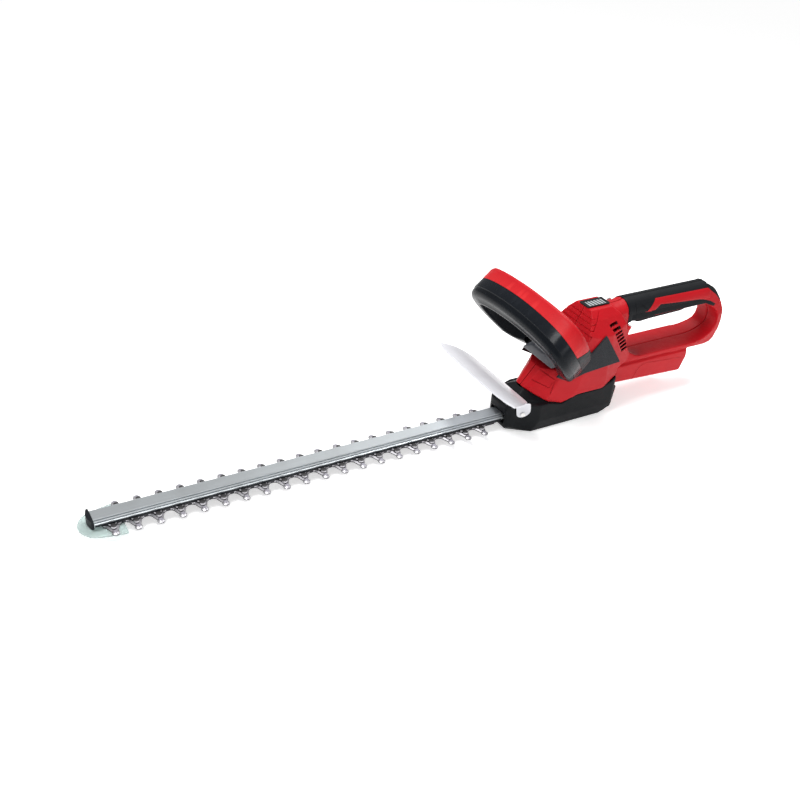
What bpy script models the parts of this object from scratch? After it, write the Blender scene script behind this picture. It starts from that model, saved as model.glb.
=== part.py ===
"""Cordless hedge trimmer: casing, two handles, cutter bar and its whole drive.

+X runs along the cutter bar to its tip, +Y is the tool's left and +Z is up.
The origin is on the flat underside of the gear case, below the drive gear's axis.
Dimensions are in millimetres and become metres where a mesh is finished.
"""
import math

import bmesh
import bpy
from mathutils import Matrix, Vector

MM = 0.001
GAP = 0.3
SPLIT = 0.15                    # half of the gap between the casing halves
WALL = 3.0

# Cutter bar
TOOTH_PITCH = 26.0
TEETH_PER_SIDE = 20
FIRST_LEFT_TOOTH_X = 620.0
FIRST_RIGHT_TOOTH_X = FIRST_LEFT_TOOTH_X - TOOTH_PITCH / 2
SPINE_HALF = 12.0
TOOTH_BASE = 18.0
LOWER_REACH = 31.0
UPPER_REACH = 25.0
LOWER_TIP = 9.0
UPPER_TIP = 11.0
BLADE_THICK = 2.6
LOWER_Z = 11.2
UPPER_Z = LOWER_Z + BLADE_THICK + GAP
BLADE_FRONT_X = 631.0
TANG_HALF = 10.0
BAR_REAR_X = 46.0
BAR_FRONT_X = 640.0
BAR_Z = UPPER_Z + BLADE_THICK + 0.4
BAR_TOP_Z = 24.0
BAR_HALF = 13.7
BOLT_XS = (70.0, 160.0, 290.0, 420.0, 550.0)
BOLT_RADIUS = 3.0

# Drive
THROW = TOOTH_PITCH / 4         # each blade moves a quarter pitch either way
ECCENTRIC_RADIUS = 13.0
YOKE_PLAY = 1.8
GEAR_MODULE = 0.9
GEAR_TEETH = 60
PINION_TEETH = 12
GEAR_Z = (19.5, 27.5)
SHAFT_RADIUS = 5.0
MOTOR_X = -GEAR_MODULE * (GEAR_TEETH + PINION_TEETH) / 2
MOTOR_RADIUS = 18.0
MOTOR_SHAFT_RADIUS = 1.6
BEARING_RADIUS = 11.0
BRACKET_Z = (29.5, 38.0)
LEG_PLACES = ((36.0, 23.0), (36.0, -23.0), (-46.0, 23.0), (-46.0, -23.0))
LEG_RADIUS = 3.6

# Casing
BODY_HALF = 39.0
SEAM = ((57.6, 57), (47, 50), (30, 41), (10, 36.5), (-13, 45), (-56, 45), (-82, 57))
FOOT_HALF = 30.0
STRAP_HALF = 29.0
GRIP_HALF = 19.0
GRIP_Z = 141.0
GRIP_SKIN = 2.5
GRIP_X = (-250.0, -100.0)
TOWER_TOP_Z = 160.0
PANEL_THICK = 2.4
VENT_COUNT = 8
VENT_TOP = (-56.0, 140.0)
SCREW_PLACES = ((-278.5, 104), (-90, 151), (-256, 142), (34, 70), (-94, 62))
SCREW_HEADS = (17.0, 14.0, 11.0, 17.0, 25.0)
SCREW_RADIUS = 1.6

# Front loop handle: a plane leaning forward, in which s is lateral and t runs up the lean
LOOP_BASE = (22.0, 80.0)
LOOP_LEAN = math.radians(45.5)
LOOP_DEPTH = 46.0
LOOP_SPLIT = 26.0
LOOP_SIDE_BOW = 4.0
LOOP_REAR_BOW = 1.2
LOOP_DRAFT = 0.04               # the loop narrows this much from its front to its back
LOOP_ARM_TAPER = 8.7            # how far the front face falls back where an arm meets the casing
LOOP_ARM_SPANS = 2.7
LOOP_RISE_BOW = 9.0
LOOP_WIDTH = 26.0
LOOP_CUT = BODY_HALF + PANEL_THICK + 1.2

# Hand guard: the curved plate's profile as (x, z, half-width), from its foot to its rim
GUARD_PROFILE = (
    (70.0, 43.4, 29), (75.0, 51.7, 36), (80.5, 60, 47), (88, 68.5, 58), (96, 75.5, 67), (105, 81, 76),
    (114, 85.2, 83), (124, 88.6, 88), (133, 91.3, 90.5), (138, 92.6, 76), (141, 93.4, 50), (142, 93.7, 24),
)
GUARD_THICK = 2.4
EAR_PLANE_Y = 33.1              # the case's oblique flank at x = 60, where an ear lies flat
EAR_SLOPE = 0.35
EAR_SCREW = (70.0, 31.0)

TRIGGER_PIVOT = (-124.0, 131.0)
LEVER_PIVOT = (2.0, 100.0)
LEVER_HALF = 32.0
LEVER_SPRING_PLACE = (24.0, -12.0)

RED = ("red_plastic", (0.62, 0.02, 0.03), 0.42, 0.0)
BLACK = ("black_plastic", (0.018, 0.019, 0.021), 0.5, 0.0)
SOFT_BLACK = ("soft_grip", (0.02, 0.021, 0.023), 0.75, 0.0)
GREY = ("grey_plastic", (0.07, 0.075, 0.085), 0.45, 0.0)
CLEAR = ("clear_plastic", (0.8, 0.81, 0.84), 0.3, 0.0)
STEEL = ("blade_steel", (0.42, 0.42, 0.43), 0.35, 1.0)
ALUMINIUM = ("aluminium", (0.72, 0.74, 0.76), 0.35, 1.0)
ZINC = ("zinc_steel", (0.6, 0.6, 0.6), 0.35, 1.0)
COPPER = ("copper", (0.7, 0.35, 0.2), 0.4, 1.0)
BOARD = ("circuit_board", (0.02, 0.2, 0.07), 0.5, 0.0)


# ---------------------------------------------------------------- helpers

def clear_scene():
    for old in list(bpy.data.objects):
        bpy.data.objects.remove(old, do_unlink=True)


def material(spec):
    name, colour, roughness, metallic = spec
    found = bpy.data.materials.get(name)
    if found:
        return found
    made = bpy.data.materials.new(name)
    made.use_nodes = True
    shader = made.node_tree.nodes["Principled BSDF"]
    shader.inputs["Base Color"].default_value = (*colour, 1.0)
    shader.inputs["Roughness"].default_value = roughness
    shader.inputs["Metallic"].default_value = metallic
    return made


def tidy(bm):
    bmesh.ops.remove_doubles(bm, verts=bm.verts, dist=0.0005)
    bmesh.ops.recalc_face_normals(bm, faces=bm.faces)
    return bm


def finish(name, bm, spec, origin=(0, 0, 0), sharp=35):
    """Turns a bmesh in millimetres into an object in metres with its own origin."""
    bm.transform(Matrix.Scale(MM, 4) @ Matrix.Translation(-Vector(origin)))
    mesh = bpy.data.meshes.new(name)
    bm.to_mesh(mesh)
    bm.free()
    mesh.shade_smooth()
    mesh.set_sharp_from_angle(angle=math.radians(sharp))
    made = bpy.data.objects.new(name, mesh)
    made.location = Vector(origin) * MM
    made.data.materials.append(material(spec))
    bpy.context.scene.collection.objects.link(made)
    return made


def boolean(target, bm, operation):
    """Adds a live Boolean whose other object is a hidden guide."""
    label = f"{target.name}_{operation.lower()}_{len(target.modifiers)}"
    guide = finish(label, bm, RED, tuple(target.location / MM))
    guide.hide_render = True
    guide.display_type = "WIRE"
    modifier = target.modifiers.new(operation.title(), "BOOLEAN")
    modifier.operation = operation
    modifier.object = guide


def cut(target, *shapes):
    for shape in shapes:
        boolean(target, shape, "DIFFERENCE")


def fuse(target, *shapes):
    for shape in shapes:
        boolean(target, shape, "UNION")


def merged(*shapes):
    """Joins shapes that stay clear of each other into one bmesh."""
    whole = bmesh.new()
    for shape in shapes:
        mesh = bpy.data.meshes.new("part")
        shape.to_mesh(mesh)
        shape.free()
        whole.from_mesh(mesh)
        bpy.data.meshes.remove(mesh)
    return whole


PLACE = {
    "X": lambda a, b, c: (c, a, b),
    "Y": lambda a, b, c: (a, c, b),
    "Z": lambda a, b, c: (a, b, c),
}


def prism(outline, low, high, axis="Z"):
    """Extrudes a flat outline along an axis: (y, z) for X, (x, z) for Y, (x, y) for Z."""
    bm = bmesh.new()
    low, high = min(low, high), max(low, high)
    verts = [bm.verts.new(PLACE[axis](a, b, low)) for a, b in outline]
    face = bm.faces.new(verts)
    swept = bmesh.ops.extrude_face_region(bm, geom=[face])
    moved = [item for item in swept["geom"] if isinstance(item, bmesh.types.BMVert)]
    bmesh.ops.translate(bm, verts=moved, vec=PLACE[axis](0, 0, high - low))
    return tidy(bm)


def box(low, high):
    outline = ((low[0], low[1]), (high[0], low[1]), (high[0], high[1]), (low[0], high[1]))
    return prism(outline, low[2], high[2])


def circle(radius, count=20, centre=(0, 0), start=0.0):
    step = 2 * math.pi / count
    return [
        (centre[0] + radius * math.cos(start + i * step), centre[1] + radius * math.sin(start + i * step))
        for i in range(count)
    ]


def rod(radius, low, high, centre=(0, 0), axis="Z", count=20):
    return prism(circle(radius, count, centre), low, high, axis)


def ring(outer, inner, low, high, centre=(0, 0), count=20):
    """Spins a rectangular profile round a vertical axis."""
    bm = bmesh.new()
    corners = ((inner, low), (outer, low), (outer, high), (inner, high))
    verts = [bm.verts.new((centre[0] + r, centre[1], z)) for r, z in corners]
    face = bm.faces.new(verts)
    bmesh.ops.spin(
        bm, geom=[face, *face.edges, *face.verts], cent=(*centre, 0), axis=(0, 0, 1),
        angle=2 * math.pi, steps=count, use_duplicate=False,
    )
    bmesh.ops.remove_doubles(bm, verts=bm.verts, dist=0.001)
    inside = [f for f in bm.faces if all(abs(v.co.y - centre[1]) < 1e-4 for v in f.verts)]
    bmesh.ops.delete(bm, geom=inside, context="FACES_ONLY")
    return tidy(bm)


def rounded(corners, steps=4):
    """Rounds a polygon's corners, each given as (a, b, radius)."""
    points = []
    count = len(corners)
    for i, (a, b, radius) in enumerate(corners):
        here = Vector((a, b))
        if radius <= 0:
            points.append((a, b))
            continue
        before = Vector(corners[i - 1][:2]) - here
        after = Vector(corners[(i + 1) % count][:2]) - here
        reach = min(radius, 0.48 * before.length, 0.48 * after.length)
        first = here + before.normalized() * reach
        last = here + after.normalized() * reach
        for k in range(steps + 1):
            f = k / steps
            p = first * (1 - f) ** 2 + here * 2 * f * (1 - f) + last * f ** 2
            points.append((p.x, p.y))
    return points


def inset(outline, distance):
    """Moves every side of an outline inwards by a distance."""
    count = len(outline)
    area = sum(outline[i - 1][0] * outline[i][1] - outline[i][0] * outline[i - 1][1] for i in range(count))
    turn = 1 if area > 0 else -1
    moved = []
    for i in range(count):
        here = Vector(outline[i])
        before = (here - Vector(outline[i - 1])).normalized()
        after = (Vector(outline[(i + 1) % count]) - here).normalized()
        normal_a = Vector((-before.y, before.x)) * turn
        normal_b = Vector((-after.y, after.x)) * turn
        mean = normal_a + normal_b
        mean /= max(mean.dot(normal_a), 0.4)
        moved.append(tuple(here + mean * distance))
    return moved


def soft_prism(outline, low, high, axis, edge):
    """A prism whose end at 'high' has a chamfer of size 'edge'."""
    shy = high - math.copysign(edge, high - low)
    rings = (
        [PLACE[axis](a, b, low) for a, b in outline],
        [PLACE[axis](a, b, shy) for a, b in outline],
        [PLACE[axis](a, b, high) for a, b in inset(outline, edge)],
    )
    return loft(rings)


def loft(rings):
    """Skins matching rings of points and closes both ends."""
    bm = bmesh.new()
    loops = [[bm.verts.new(p) for p in points] for points in rings]
    count = len(rings[0])
    for lower, upper in zip(loops, loops[1:]):
        for i in range(count):
            j = (i + 1) % count
            bm.faces.new((lower[i], lower[j], upper[j], upper[i]))
    bm.faces.new(loops[0])
    bm.faces.new(loops[-1])
    return tidy(bm)


def shave(bm, point, normal):
    """Cuts away what lies on the normal's side of a plane and closes the cut."""
    geom = [*bm.verts, *bm.edges, *bm.faces]
    result = bmesh.ops.bisect_plane(
        bm, geom=geom, plane_co=point, plane_no=normal, clear_outer=True, dist=1e-5,
    )
    edges = [item for item in result["geom_cut"] if isinstance(item, bmesh.types.BMEdge)]
    bmesh.ops.edgeloop_fill(bm, edges=[e for e in edges if e.is_valid and e.is_boundary])
    return tidy(bm)


def smooth_path(points, per_span):
    """A Catmull-Rom curve through the points."""
    path = []
    padded = [points[0], *points, points[-1]]
    for a, b, c, d in zip(padded, padded[1:], padded[2:], padded[3:]):
        for k in range(per_span):
            f = k / per_span
            path.append(tuple(
                0.5 * (2 * q + (r - p) * f + (2 * p - 5 * q + 4 * r - s) * f * f
                       + (3 * q - p - 3 * r + s) * f ** 3)
                for p, q, r, s in zip(a, b, c, d)
            ))
    path.append(tuple(points[-1]))
    return path


def coil(radius, wire, low, high, centre, turns, sides=5, per_turn=8):
    """A helical spring with flat ends."""
    rings = []
    steps = int(turns * per_turn)
    rise = (high - low - 2 * wire) / steps
    for k in range(steps + 1):
        angle = 2 * math.pi * k / per_turn
        outward = Vector((math.cos(angle), math.sin(angle), 0))
        middle = Vector((*centre, low + wire + rise * k)) + outward * radius
        rings.append([
            middle + outward * wire * math.cos(2 * math.pi * s / sides)
            + Vector((0, 0, wire * math.sin(2 * math.pi * s / sides)))
            for s in range(sides)
        ])
    return loft(rings)


# ---------------------------------------------------------------- casing

def seam_line(shift):
    """The wavy line where the red casing meets the black gear case."""
    return [(x, z + shift) for x, z in SEAM]


FACETS = (
    ((57.6, 8), (1.0, 0.848, 0.7), 57.0),
    ((47, 20.5), (1.0, 1.308, 0.5), 50.0),
    ((30, 33.5), (0.15, 1.0, 0.05), 41.0),
    ((-60, BODY_HALF), (-0.24, 1.0, 0.0), 60.0),
    ((-32, BODY_HALF), (0.0, 1.0, 0.6), 128.0),
    ((-32, 20), (0.0, 1.0, 0.95), TOWER_TOP_Z - 4),
)


def shave_body(bm, side, inward):
    """Narrows the casing's nose, tail and tower with flat facets."""
    for (x, y), direction, z in FACETS:
        normal = Vector(direction).normalized()
        point = Vector((x, y, z)) - normal * inward
        normal.y *= side
        point.y *= side
        shave(bm, point, normal)
    return bm


def body_volume(side, inward):
    bottom = seam_line(GAP / 2) if inward == 0 else seam_line(-12)
    top = [(-84, 62), (-84, 67), (-104, 76), (-104, 128), (-90, 128), (-80, 150), (-68, TOWER_TOP_Z),
           (-33, TOWER_TOP_Z), (-16, 120), (-12, 106), (-7, 91), (12, 88), (35.4, 84)]
    outline = [*bottom, *top]
    if inward:
        upper = [(-80, 62), (-80, 124), (-64, 155), (-36, 155), (-19, 117), (-14.6, 104), (-9.3, 88.4),
                 (11.5, 85), (34, 81.1), (52, 59)]
        outline = [*bottom[1:], *upper]
    half = BODY_HALF - inward
    low = SPLIT if inward == 0 else -1.0
    return shave_body(prism(outline, low * side, half * side, "Y"), side, inward)


def neck(side):
    """The waist between the tower and the grip's collar."""
    rings = []
    for x, half, top in ((-70, 22, 157), (-80.3, 20.7, 156.1), (-91.4, 19.6, 156.6), (-99.6, 19, 159.5), (-106, 19, 159.5)):
        arc = [
            (half * math.cos(a), GRIP_Z + (top - GRIP_Z) * math.sin(a))
            for a in (math.pi * k / 10 for k in range(5))
        ]
        section = [(SPLIT, 127.5), (half, 127.5), *arc, (SPLIT, top)]
        rings.append([(x, y * side, z) for y, z in section])
    return loft(rings)


def handle_outline():
    return rounded((
        (-84, 68, 0), (-84, 127, 0), (-102, 127.6, 0), (-102, 159.5, 0), (-244, 160, 10), (-262, 152, 14),
        (-281, 124, 16), (-286, 93, 20), (-272, 66.5, 14), (-250, 66.5, 0),
    ))


def handle_opening():
    return rounded((
        (-98.3, 129.3, 7), (-91.5, 112.4, 12), (-102.2, 88, 12), (-121, 76, 12), (-246, 76, 16),
        (-275, 88, 18), (-273, 117, 18), (-248, 131, 14),
    ))


def foot_outline():
    return rounded(((-83, 40.5, 4), (-211, 33.5, 3), (-220, 57, 3), (-218.5, 68.5, 2), (-83, 68.5, 0)), 3)


def handle_volume(side):
    bm = soft_prism(handle_outline(), SPLIT * side, STRAP_HALF * side, "Y", 4.0)
    return shave(
        shave(bm, (-250, 26 * side, 100), (-0.16, side * 1.0, 0)),
        (-200, 25.5 * side, 92), (0, side * 1.0, 0.2),
    )


def grip_section(side, grow):
    """A quarter ring round the grip, from its side up to its top."""
    half = GRIP_HALF + grow
    crown = TOWER_TOP_Z - GRIP_Z + grow
    steps = 7
    arc = [
        (max(half * math.cos(a), SPLIT), GRIP_Z + crown * math.sin(a))
        for a in (0.5 * math.pi * k / steps for k in range(steps + 1))
    ]
    return [(y * side, z) for y, z in arc]


def grip_shell(side, inner, outer, low, high):
    section = grip_section(side, outer) + grip_section(side, inner)[::-1]
    return prism(section, low, high, "X")


def vents(side):
    """Eight slanted slots behind the side panel."""
    slots = []
    for k in range(VENT_COUNT):
        x = VENT_TOP[0] - 4.0 * k
        z = VENT_TOP[1] - 6.1 * k
        corners = ((x, z), (x - 12, z + 2.6), (x - 13, z + 0.2), (x - 1, z - 2.4))
        slots.append(prism(corners, 12 * side, 60 * side, "Y"))
    return merged(*slots)


def casing_half(name, side):
    half = finish(name, body_volume(side, 0), RED)
    fuse(half, handle_volume(side))
    fuse(half, neck(side))
    fuse(half, soft_prism(foot_outline(), SPLIT * side, FOOT_HALF * side, "Y", 2.5))
    lug = rounded(((-4, 80, 0), (-4, 105.5, 5), (8, 105.5, 5), (8, 80, 0)), 3)
    fuse(half, prism(lug, 32.6 * side, 37.4 * side, "Y"))
    cut(half, prism(handle_opening(), -1 * side, 40 * side, "Y"))
    cut(half, grip_shell(side, -GRIP_SKIN - GAP, 9, GRIP_X[0] - GAP, GRIP_X[1] + GAP))
    cut(half, body_volume(side, WALL))
    grip_room = rounded(((-112, 127, 0), (-112, 152, 4), (-240, 152, 4), (-240, 127, 0)), 3)
    cut(half, prism(grip_room, -1 * side, 10.5 * side, "Y"))
    neck_room = ((-82, 134), (-82, 146), (-113, 146), (-113, 134))
    cut(half, prism(neck_room, -1 * side, 8 * side, "Y"))
    cut(half, box((-205, -1 if side > 0 else -26, 57), (-98, 26 if side > 0 else 1, 73)))
    slot = ((-102, 30), (-102, 54.5), (-117, 54.5), (-117, 53), (-230, 53), (-230, 30))
    cut(half, prism(slot, -1 * side, 23 * side, "Y"))
    rail = ((-112, 41), (-112, 46), (-230, 46), (-230, 41))
    cut(half, prism(rail, 20 * side, 26 * side, "Y"))
    cut(half, vents(side))
    for x, z in SCREW_PLACES:
        depth = 13 if side > 0 else 60
        cut(half, rod(SCREW_RADIUS + GAP, -1 * side, depth * side, (x, z), "Y", 12))
    cut(half, rod(1.5 + GAP, 30 * side, 36 * side, LEVER_PIVOT, "Y", 12))
    cut(half, rod(1.5 + GAP, -1 * side, 14.5 * side, TRIGGER_PIVOT, "Y", 12))
    if side < 0:
        for (x, z), y in zip(SCREW_PLACES, SCREW_HEADS):
            cut(half, rod(3.2 + GAP, -y, -70, (x, z), "Y", 12))
    return half


def side_panel(name, side):
    """The stippled plate that carries the loop handle's arm."""
    outline = ((-46, 131), (-79, 84), (-19, 79), (8, 72), (30, 84), (18, 98), (0, 103), (-14, 116), (-20, 113),
               (-25, 109))
    low = (BODY_HALF + GAP) * side
    bm = soft_prism(outline, low, low + PANEL_THICK * side, "Y", 0.8)
    normal = Vector((0.0, 1.0 * side, 0.6)).normalized()
    return finish(name, shave(bm, Vector((-32, BODY_HALF * side, 128)) + normal * 3.2, normal), BLACK)


def grip(name, side):
    return finish(name, grip_shell(side, -GRIP_SKIN, 0, *GRIP_X), SOFT_BLACK)


def shaved(bm, facets, inward=0.0):
    """Cuts a shape back to a set of facets given for the left side, on both sides."""
    for point, direction in facets:
        for side in (1, -1):
            normal = Vector(direction).normalized()
            place = Vector(point) - normal * inward
            normal.y *= side
            place.y *= side
            shave(bm, place, normal)
    return bm


CASE_FACETS = (
    ((89, 17, 20), (1.0, 0.62, 0)),
    ((66, 31, 20), (EAR_SLOPE, 1.0, 0)),
    ((-80, 37, 20), (-0.45, 1.0, 0)),
    ((0, 34.5, 0), (0, 1.0, -0.22)),
    ((74, 27, 5), (0.5, 0.7, -0.9)),
)
LIP_TOP_FACET = ((57.6, 10, 57), (0.012, 0.561, 0.827))
LIP_FACETS = (
    ((73, 18, 52), (EAR_SLOPE, 1.0, 0.3)),
    ((66, 31, 20), (EAR_SLOPE, 1.0, 0)),
    ((-80, 37, 20), (-0.45, 1.0, 0)),
)


def gear_case():
    """The black lower casing round the gear train, with a nose for the cutter bar."""
    seam = seam_line(-GAP / 2)
    low_outline = [(84, 0), (89, 6), (89, 36), (85, 42), (32, 41.8), *seam[2:4], (-4.8, 41.8), (-82.7, 41.8),
                   (-82.7, 39.8), (-88, 39), (-88, 37), (-80, 9), (-64, 0)]
    made = finish("gear_case", shaved(prism(low_outline, -38, 38, "Y"), CASE_FACETS), BLACK)
    rear_outline = [(33, 31), (33, 42.3), *seam[2:-1], (-82.7, 56.5), (-82.7, 31)]
    fuse(made, shaved(prism(rear_outline, -38, 38, "Y"), LIP_FACETS))
    lip_outline = [(31, 30), (60, 30), (66.5, 42), (72.3, 51.4), (58.2, 56.6), seam[1], (31, 41.3)]
    fuse(made, shaved(prism(lip_outline, -38, 38, "Y"), (*LIP_FACETS, LIP_TOP_FACET)))
    rear_room = [(29, 6), (29, 70), (-70, 70), (-79, 44), (-76, 18), (-64, 6)]
    cut(made, shaved(prism(rear_room, -34.6, 34.6, "Y"), (*CASE_FACETS[:4], LIP_FACETS[0]), 3.4))
    front_room = [(82, 6.4), (82, 37), (66, 37), (54, 70), (27, 70), (27, 6.4)]
    facets = (*CASE_FACETS[:4], LIP_FACETS[0], LIP_TOP_FACET)
    cut(made, shaved(prism(front_room, -34, 34, "Y"), facets, 3.7))
    cut(made, box((-53.5, -27.5, -1), (43.5, 27.5, 3.2)))
    cut(made, box((-38, -18, 2), (28, 18, 7)))
    cut(made, box((78, -15.3, LOWER_Z - 0.8), (99, 15.3, BAR_TOP_Z + 0.5)))
    for x, y in LEG_PLACES:
        cut(made, rod(1.6 + GAP, 2, 8, (x, y), count=12))
    for side in (1, -1):
        cut(made, ear_rod(side, 1.4 + GAP, -9, 1))
    return made


def ear_point(x, z, off, side):
    """A point on the case's oblique flank, 'off' millimetres outside it."""
    length = math.hypot(EAR_SLOPE, 1.0)
    y = EAR_PLANE_Y - EAR_SLOPE * (x - 60) + off / length
    return (x + off * EAR_SLOPE / length, y * side, z)


def ear_rod(side, radius, low, high):
    rings = []
    for off in (low, high):
        rings.append([
            ear_point(EAR_SCREW[0] + radius * math.cos(a), EAR_SCREW[1] + radius * math.sin(a), off, side)
            for a in (2 * math.pi * k / 12 for k in range(12))
        ])
    return loft(rings)


def loop_point(s, t, n):
    """A point of the loop handle: s lateral, t up the lean, n behind the front face."""
    rear = max(n - LOOP_SPLIT, 0) / (LOOP_DEPTH - LOOP_SPLIT)
    bow = LOOP_SIDE_BOW + (LOOP_REAR_BOW - LOOP_SIDE_BOW) * rear
    s *= 1 - LOOP_DRAFT * n / LOOP_DEPTH
    n += LOOP_RISE_BOW * (t / 100) ** 2 - bow * (s / 90) ** 2
    x = LOOP_BASE[0] + t * math.cos(LOOP_LEAN) - n * math.sin(LOOP_LEAN)
    z = LOOP_BASE[1] + t * math.sin(LOOP_LEAN) + n * math.cos(LOOP_LEAN)
    return (x, s, z)


def loop_path(per_span):
    """The loop's centre line, from the right arm over the top to the left arm."""
    left = [(LOOP_CUT, 9.5), (52, 13.5), (62, 22.5), (73, 38), (86, 60), (92, 83), (85.5, 96), (63, 102.5), (30, 105.5),
            (0, 106.5)]
    right = [(-s, t) for s, t in left[:-1]]
    return smooth_path([*right, *left[::-1]], per_span)


def loop_sections(outer_n, inner_n, half, corner, per_span):
    """Rings of a shell's cross-section along the loop."""
    path = loop_path(per_span)
    rings = []
    start_n = outer_n
    for k, here in enumerate(path):
        if start_n < LOOP_SPLIT:
            from_end = min(k, len(path) - 1 - k) / per_span
            outer_n = start_n + LOOP_ARM_TAPER * max(1 - from_end / LOOP_ARM_SPANS, 0)
        before = Vector(path[max(k - 1, 0)])
        after = Vector(path[min(k + 1, len(path) - 1)])
        along = (after - before).normalized()
        across = Vector((-along.y, along.x))
        ring_points = []
        lift = math.copysign(corner, inner_n - outer_n)
        for w, n in ((-half, inner_n), (-half, outer_n + lift), (-half + corner, outer_n),
                     (half - corner, outer_n), (half, outer_n + lift), (half, inner_n)):
            spot = Vector(here) + across * w
            ring_points.append(loop_point(spot.x, spot.y, n))
        rings.append(ring_points)
    return rings


def loop_shell(name, outer_n, split_n, spec):
    """One half of the hollow loop handle: a channel open towards the split."""
    lift = math.copysign(WALL, split_n - outer_n)
    half = LOOP_WIDTH / 2
    shell = flat_ended(loop_sections(outer_n, split_n, half, 5.0, 3), LOOP_CUT)
    inner = loop_sections(outer_n + lift, split_n + lift, half - WALL, 3.0, 4)
    room = flat_ended(inner[3:-3], LOOP_CUT + WALL)
    made = finish(name, loft(shell), spec)
    cut(made, loft(room))
    return made


def flat_ended(rings, limit):
    """Brings the first and last ring onto the planes where the arms meet the casing."""
    for ring_points in rings:
        for k, (x, y, z) in enumerate(ring_points):
            if ring_points is rings[0] or ring_points is rings[-1]:
                ring_points[k] = (x, math.copysign(limit, y), z)
    return rings


def hand_guard():
    """A clear shield: a curved plate whose two ears lie on the case's flanks."""
    rings = []
    for k, (x, z, half) in enumerate(GUARD_PROFILE):
        before = GUARD_PROFILE[max(k - 1, 0)]
        after = GUARD_PROFILE[min(k + 1, len(GUARD_PROFILE) - 1)]
        along = Vector((after[0] - before[0], after[1] - before[1])).normalized()
        across = Vector((-along.y, along.x)) * GUARD_THICK / 2
        front = Vector((x, z)) - across
        back = Vector((x, z)) + across
        rings.append([(front.x, -half, front.y), (front.x, half, front.y),
                      (back.x, half, back.y), (back.x, -half, back.y)])
    made = finish("hand_guard", loft(rings), CLEAR)
    outline = rounded(((60.5, 46.5, 2), (59.5, 32, 5), (68, 25.5, 5), (77, 26, 5), (79, 40, 4), (80, 47.5, 1)), 3)
    for side in (1, -1):
        fuse(made, loft([[ear_point(x, z, off, side) for x, z in outline] for off in (GAP, GAP + 2.4)]))
        cut(made, ear_rod(side, 1.4 + GAP, -1, 5))
    return made


def guard_screw(name, side):
    made = finish(name, ear_rod(side, 1.4, -2.9, 3.2), ZINC)
    fuse(made, ear_rod(side, 3.0, GAP + 2.4 + GAP, 4.6))
    return made


# ---------------------------------------------------------------- cutter bar

def tooth(x, side, reach, tip):
    """The outline of one tooth, from its rear root to its front root."""
    base = TOOTH_BASE / 2
    root = SPINE_HALF
    neck = reach - tip * 0.55
    points = [(x - base, root)]
    points += [
        (x - tip / 2 * math.cos(a), neck + tip * 0.55 * math.sin(a))
        for a in (math.pi * k / 5 for k in range(6))
    ]
    points.append((x + base, root))
    return [(px, py * side) for px, py in points]


def blade_outline(reach, tip):
    """The whole blade: yoke at the rear, tang, toothed spine and rounded front end."""
    x_half = ECCENTRIC_RADIUS + YOKE_PLAY + 7
    y_half = ECCENTRIC_RADIUS + THROW + 6.7
    yoke = rounded((
        (x_half, TANG_HALF, 0), (x_half, y_half, 6), (-x_half, y_half, 6),
        (-x_half, -y_half, 6), (x_half, -y_half, 6), (x_half, -TANG_HALF, 0),
    ), 3)
    left = []
    right = []
    for k in reversed(range(TEETH_PER_SIDE)):
        left += tooth(FIRST_LEFT_TOOTH_X - k * TOOTH_PITCH, 1, reach, tip)
        right += tooth(FIRST_RIGHT_TOOTH_X - k * TOOTH_PITCH, -1, reach, tip)
    shoulder = FIRST_RIGHT_TOOTH_X - (TEETH_PER_SIDE - 1) * TOOTH_PITCH - TOOTH_BASE / 2 - 3
    step_right = [(shoulder, -TANG_HALF), (shoulder, -SPINE_HALF)]
    step_left = [(shoulder, SPINE_HALF), (shoulder, TANG_HALF)]
    nose = [(BLADE_FRONT_X - 1, -10.0), (BLADE_FRONT_X + 1.5, 0.0), (BLADE_FRONT_X, 8.0)]
    return [*yoke, *step_right, *right, *nose, *left[::-1], *step_left]


def yoke_slot(z_low):
    x_half = ECCENTRIC_RADIUS + YOKE_PLAY
    y_half = ECCENTRIC_RADIUS + THROW + 1.2
    corners = [(x_half, -y_half, 9), (x_half, y_half, 9), (-x_half, y_half, 9), (-x_half, -y_half, 9)]
    return prism(rounded(corners, 4), z_low - 1, z_low + BLADE_THICK + 1)


def stud_slot(x, z_low):
    half = THROW + 0.5
    radius = BOLT_RADIUS + 0.5
    ends = [(x + half + radius * math.cos(a), radius * math.sin(a))
            for a in (math.pi * (k / 6 - 0.5) for k in range(7))]
    ends += [(x - half + radius * math.cos(a), radius * math.sin(a))
             for a in (math.pi * (k / 6 + 0.5) for k in range(7))]
    return prism(ends, z_low - 1, z_low + BLADE_THICK + 1)


def blade(name, z_low, reach, tip):
    made = finish(name, prism(blade_outline(reach, tip), z_low, z_low + BLADE_THICK), STEEL)
    cut(made, yoke_slot(z_low))
    for x in BOLT_XS:
        cut(made, stud_slot(x, z_low))
    return made


def guide_bar():
    """The aluminium bar over the blades: a flat top, ridged shoulders and a hollow underside."""
    half = [(BAR_HALF, BAR_Z), (BAR_HALF, 20.0), (11.6, 20.4), (11.2, 22.0), (10.0, 22.2), (9.4, 21.2),
            (8.6, 21.2), (8.3, BAR_TOP_Z)]
    section = [*half, *[(-y, z) for y, z in half[::-1]]]
    made = finish("guide_bar", prism(section, BAR_REAR_X, BAR_FRONT_X, "X"), ALUMINIUM)
    groove = [(9.5, BAR_Z - 1), (9.5, BAR_Z + 0.8), (-9.5, BAR_Z + 0.8), (-9.5, BAR_Z - 1)]
    cut(made, prism(groove, BAR_REAR_X + 30, BAR_FRONT_X - 10, "X"))
    for x in BOLT_XS:
        cut(made, rod(BOLT_RADIUS + GAP, BAR_Z - 2, BAR_TOP_Z - 1.6, (x, 0), count=12))
    return made


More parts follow.
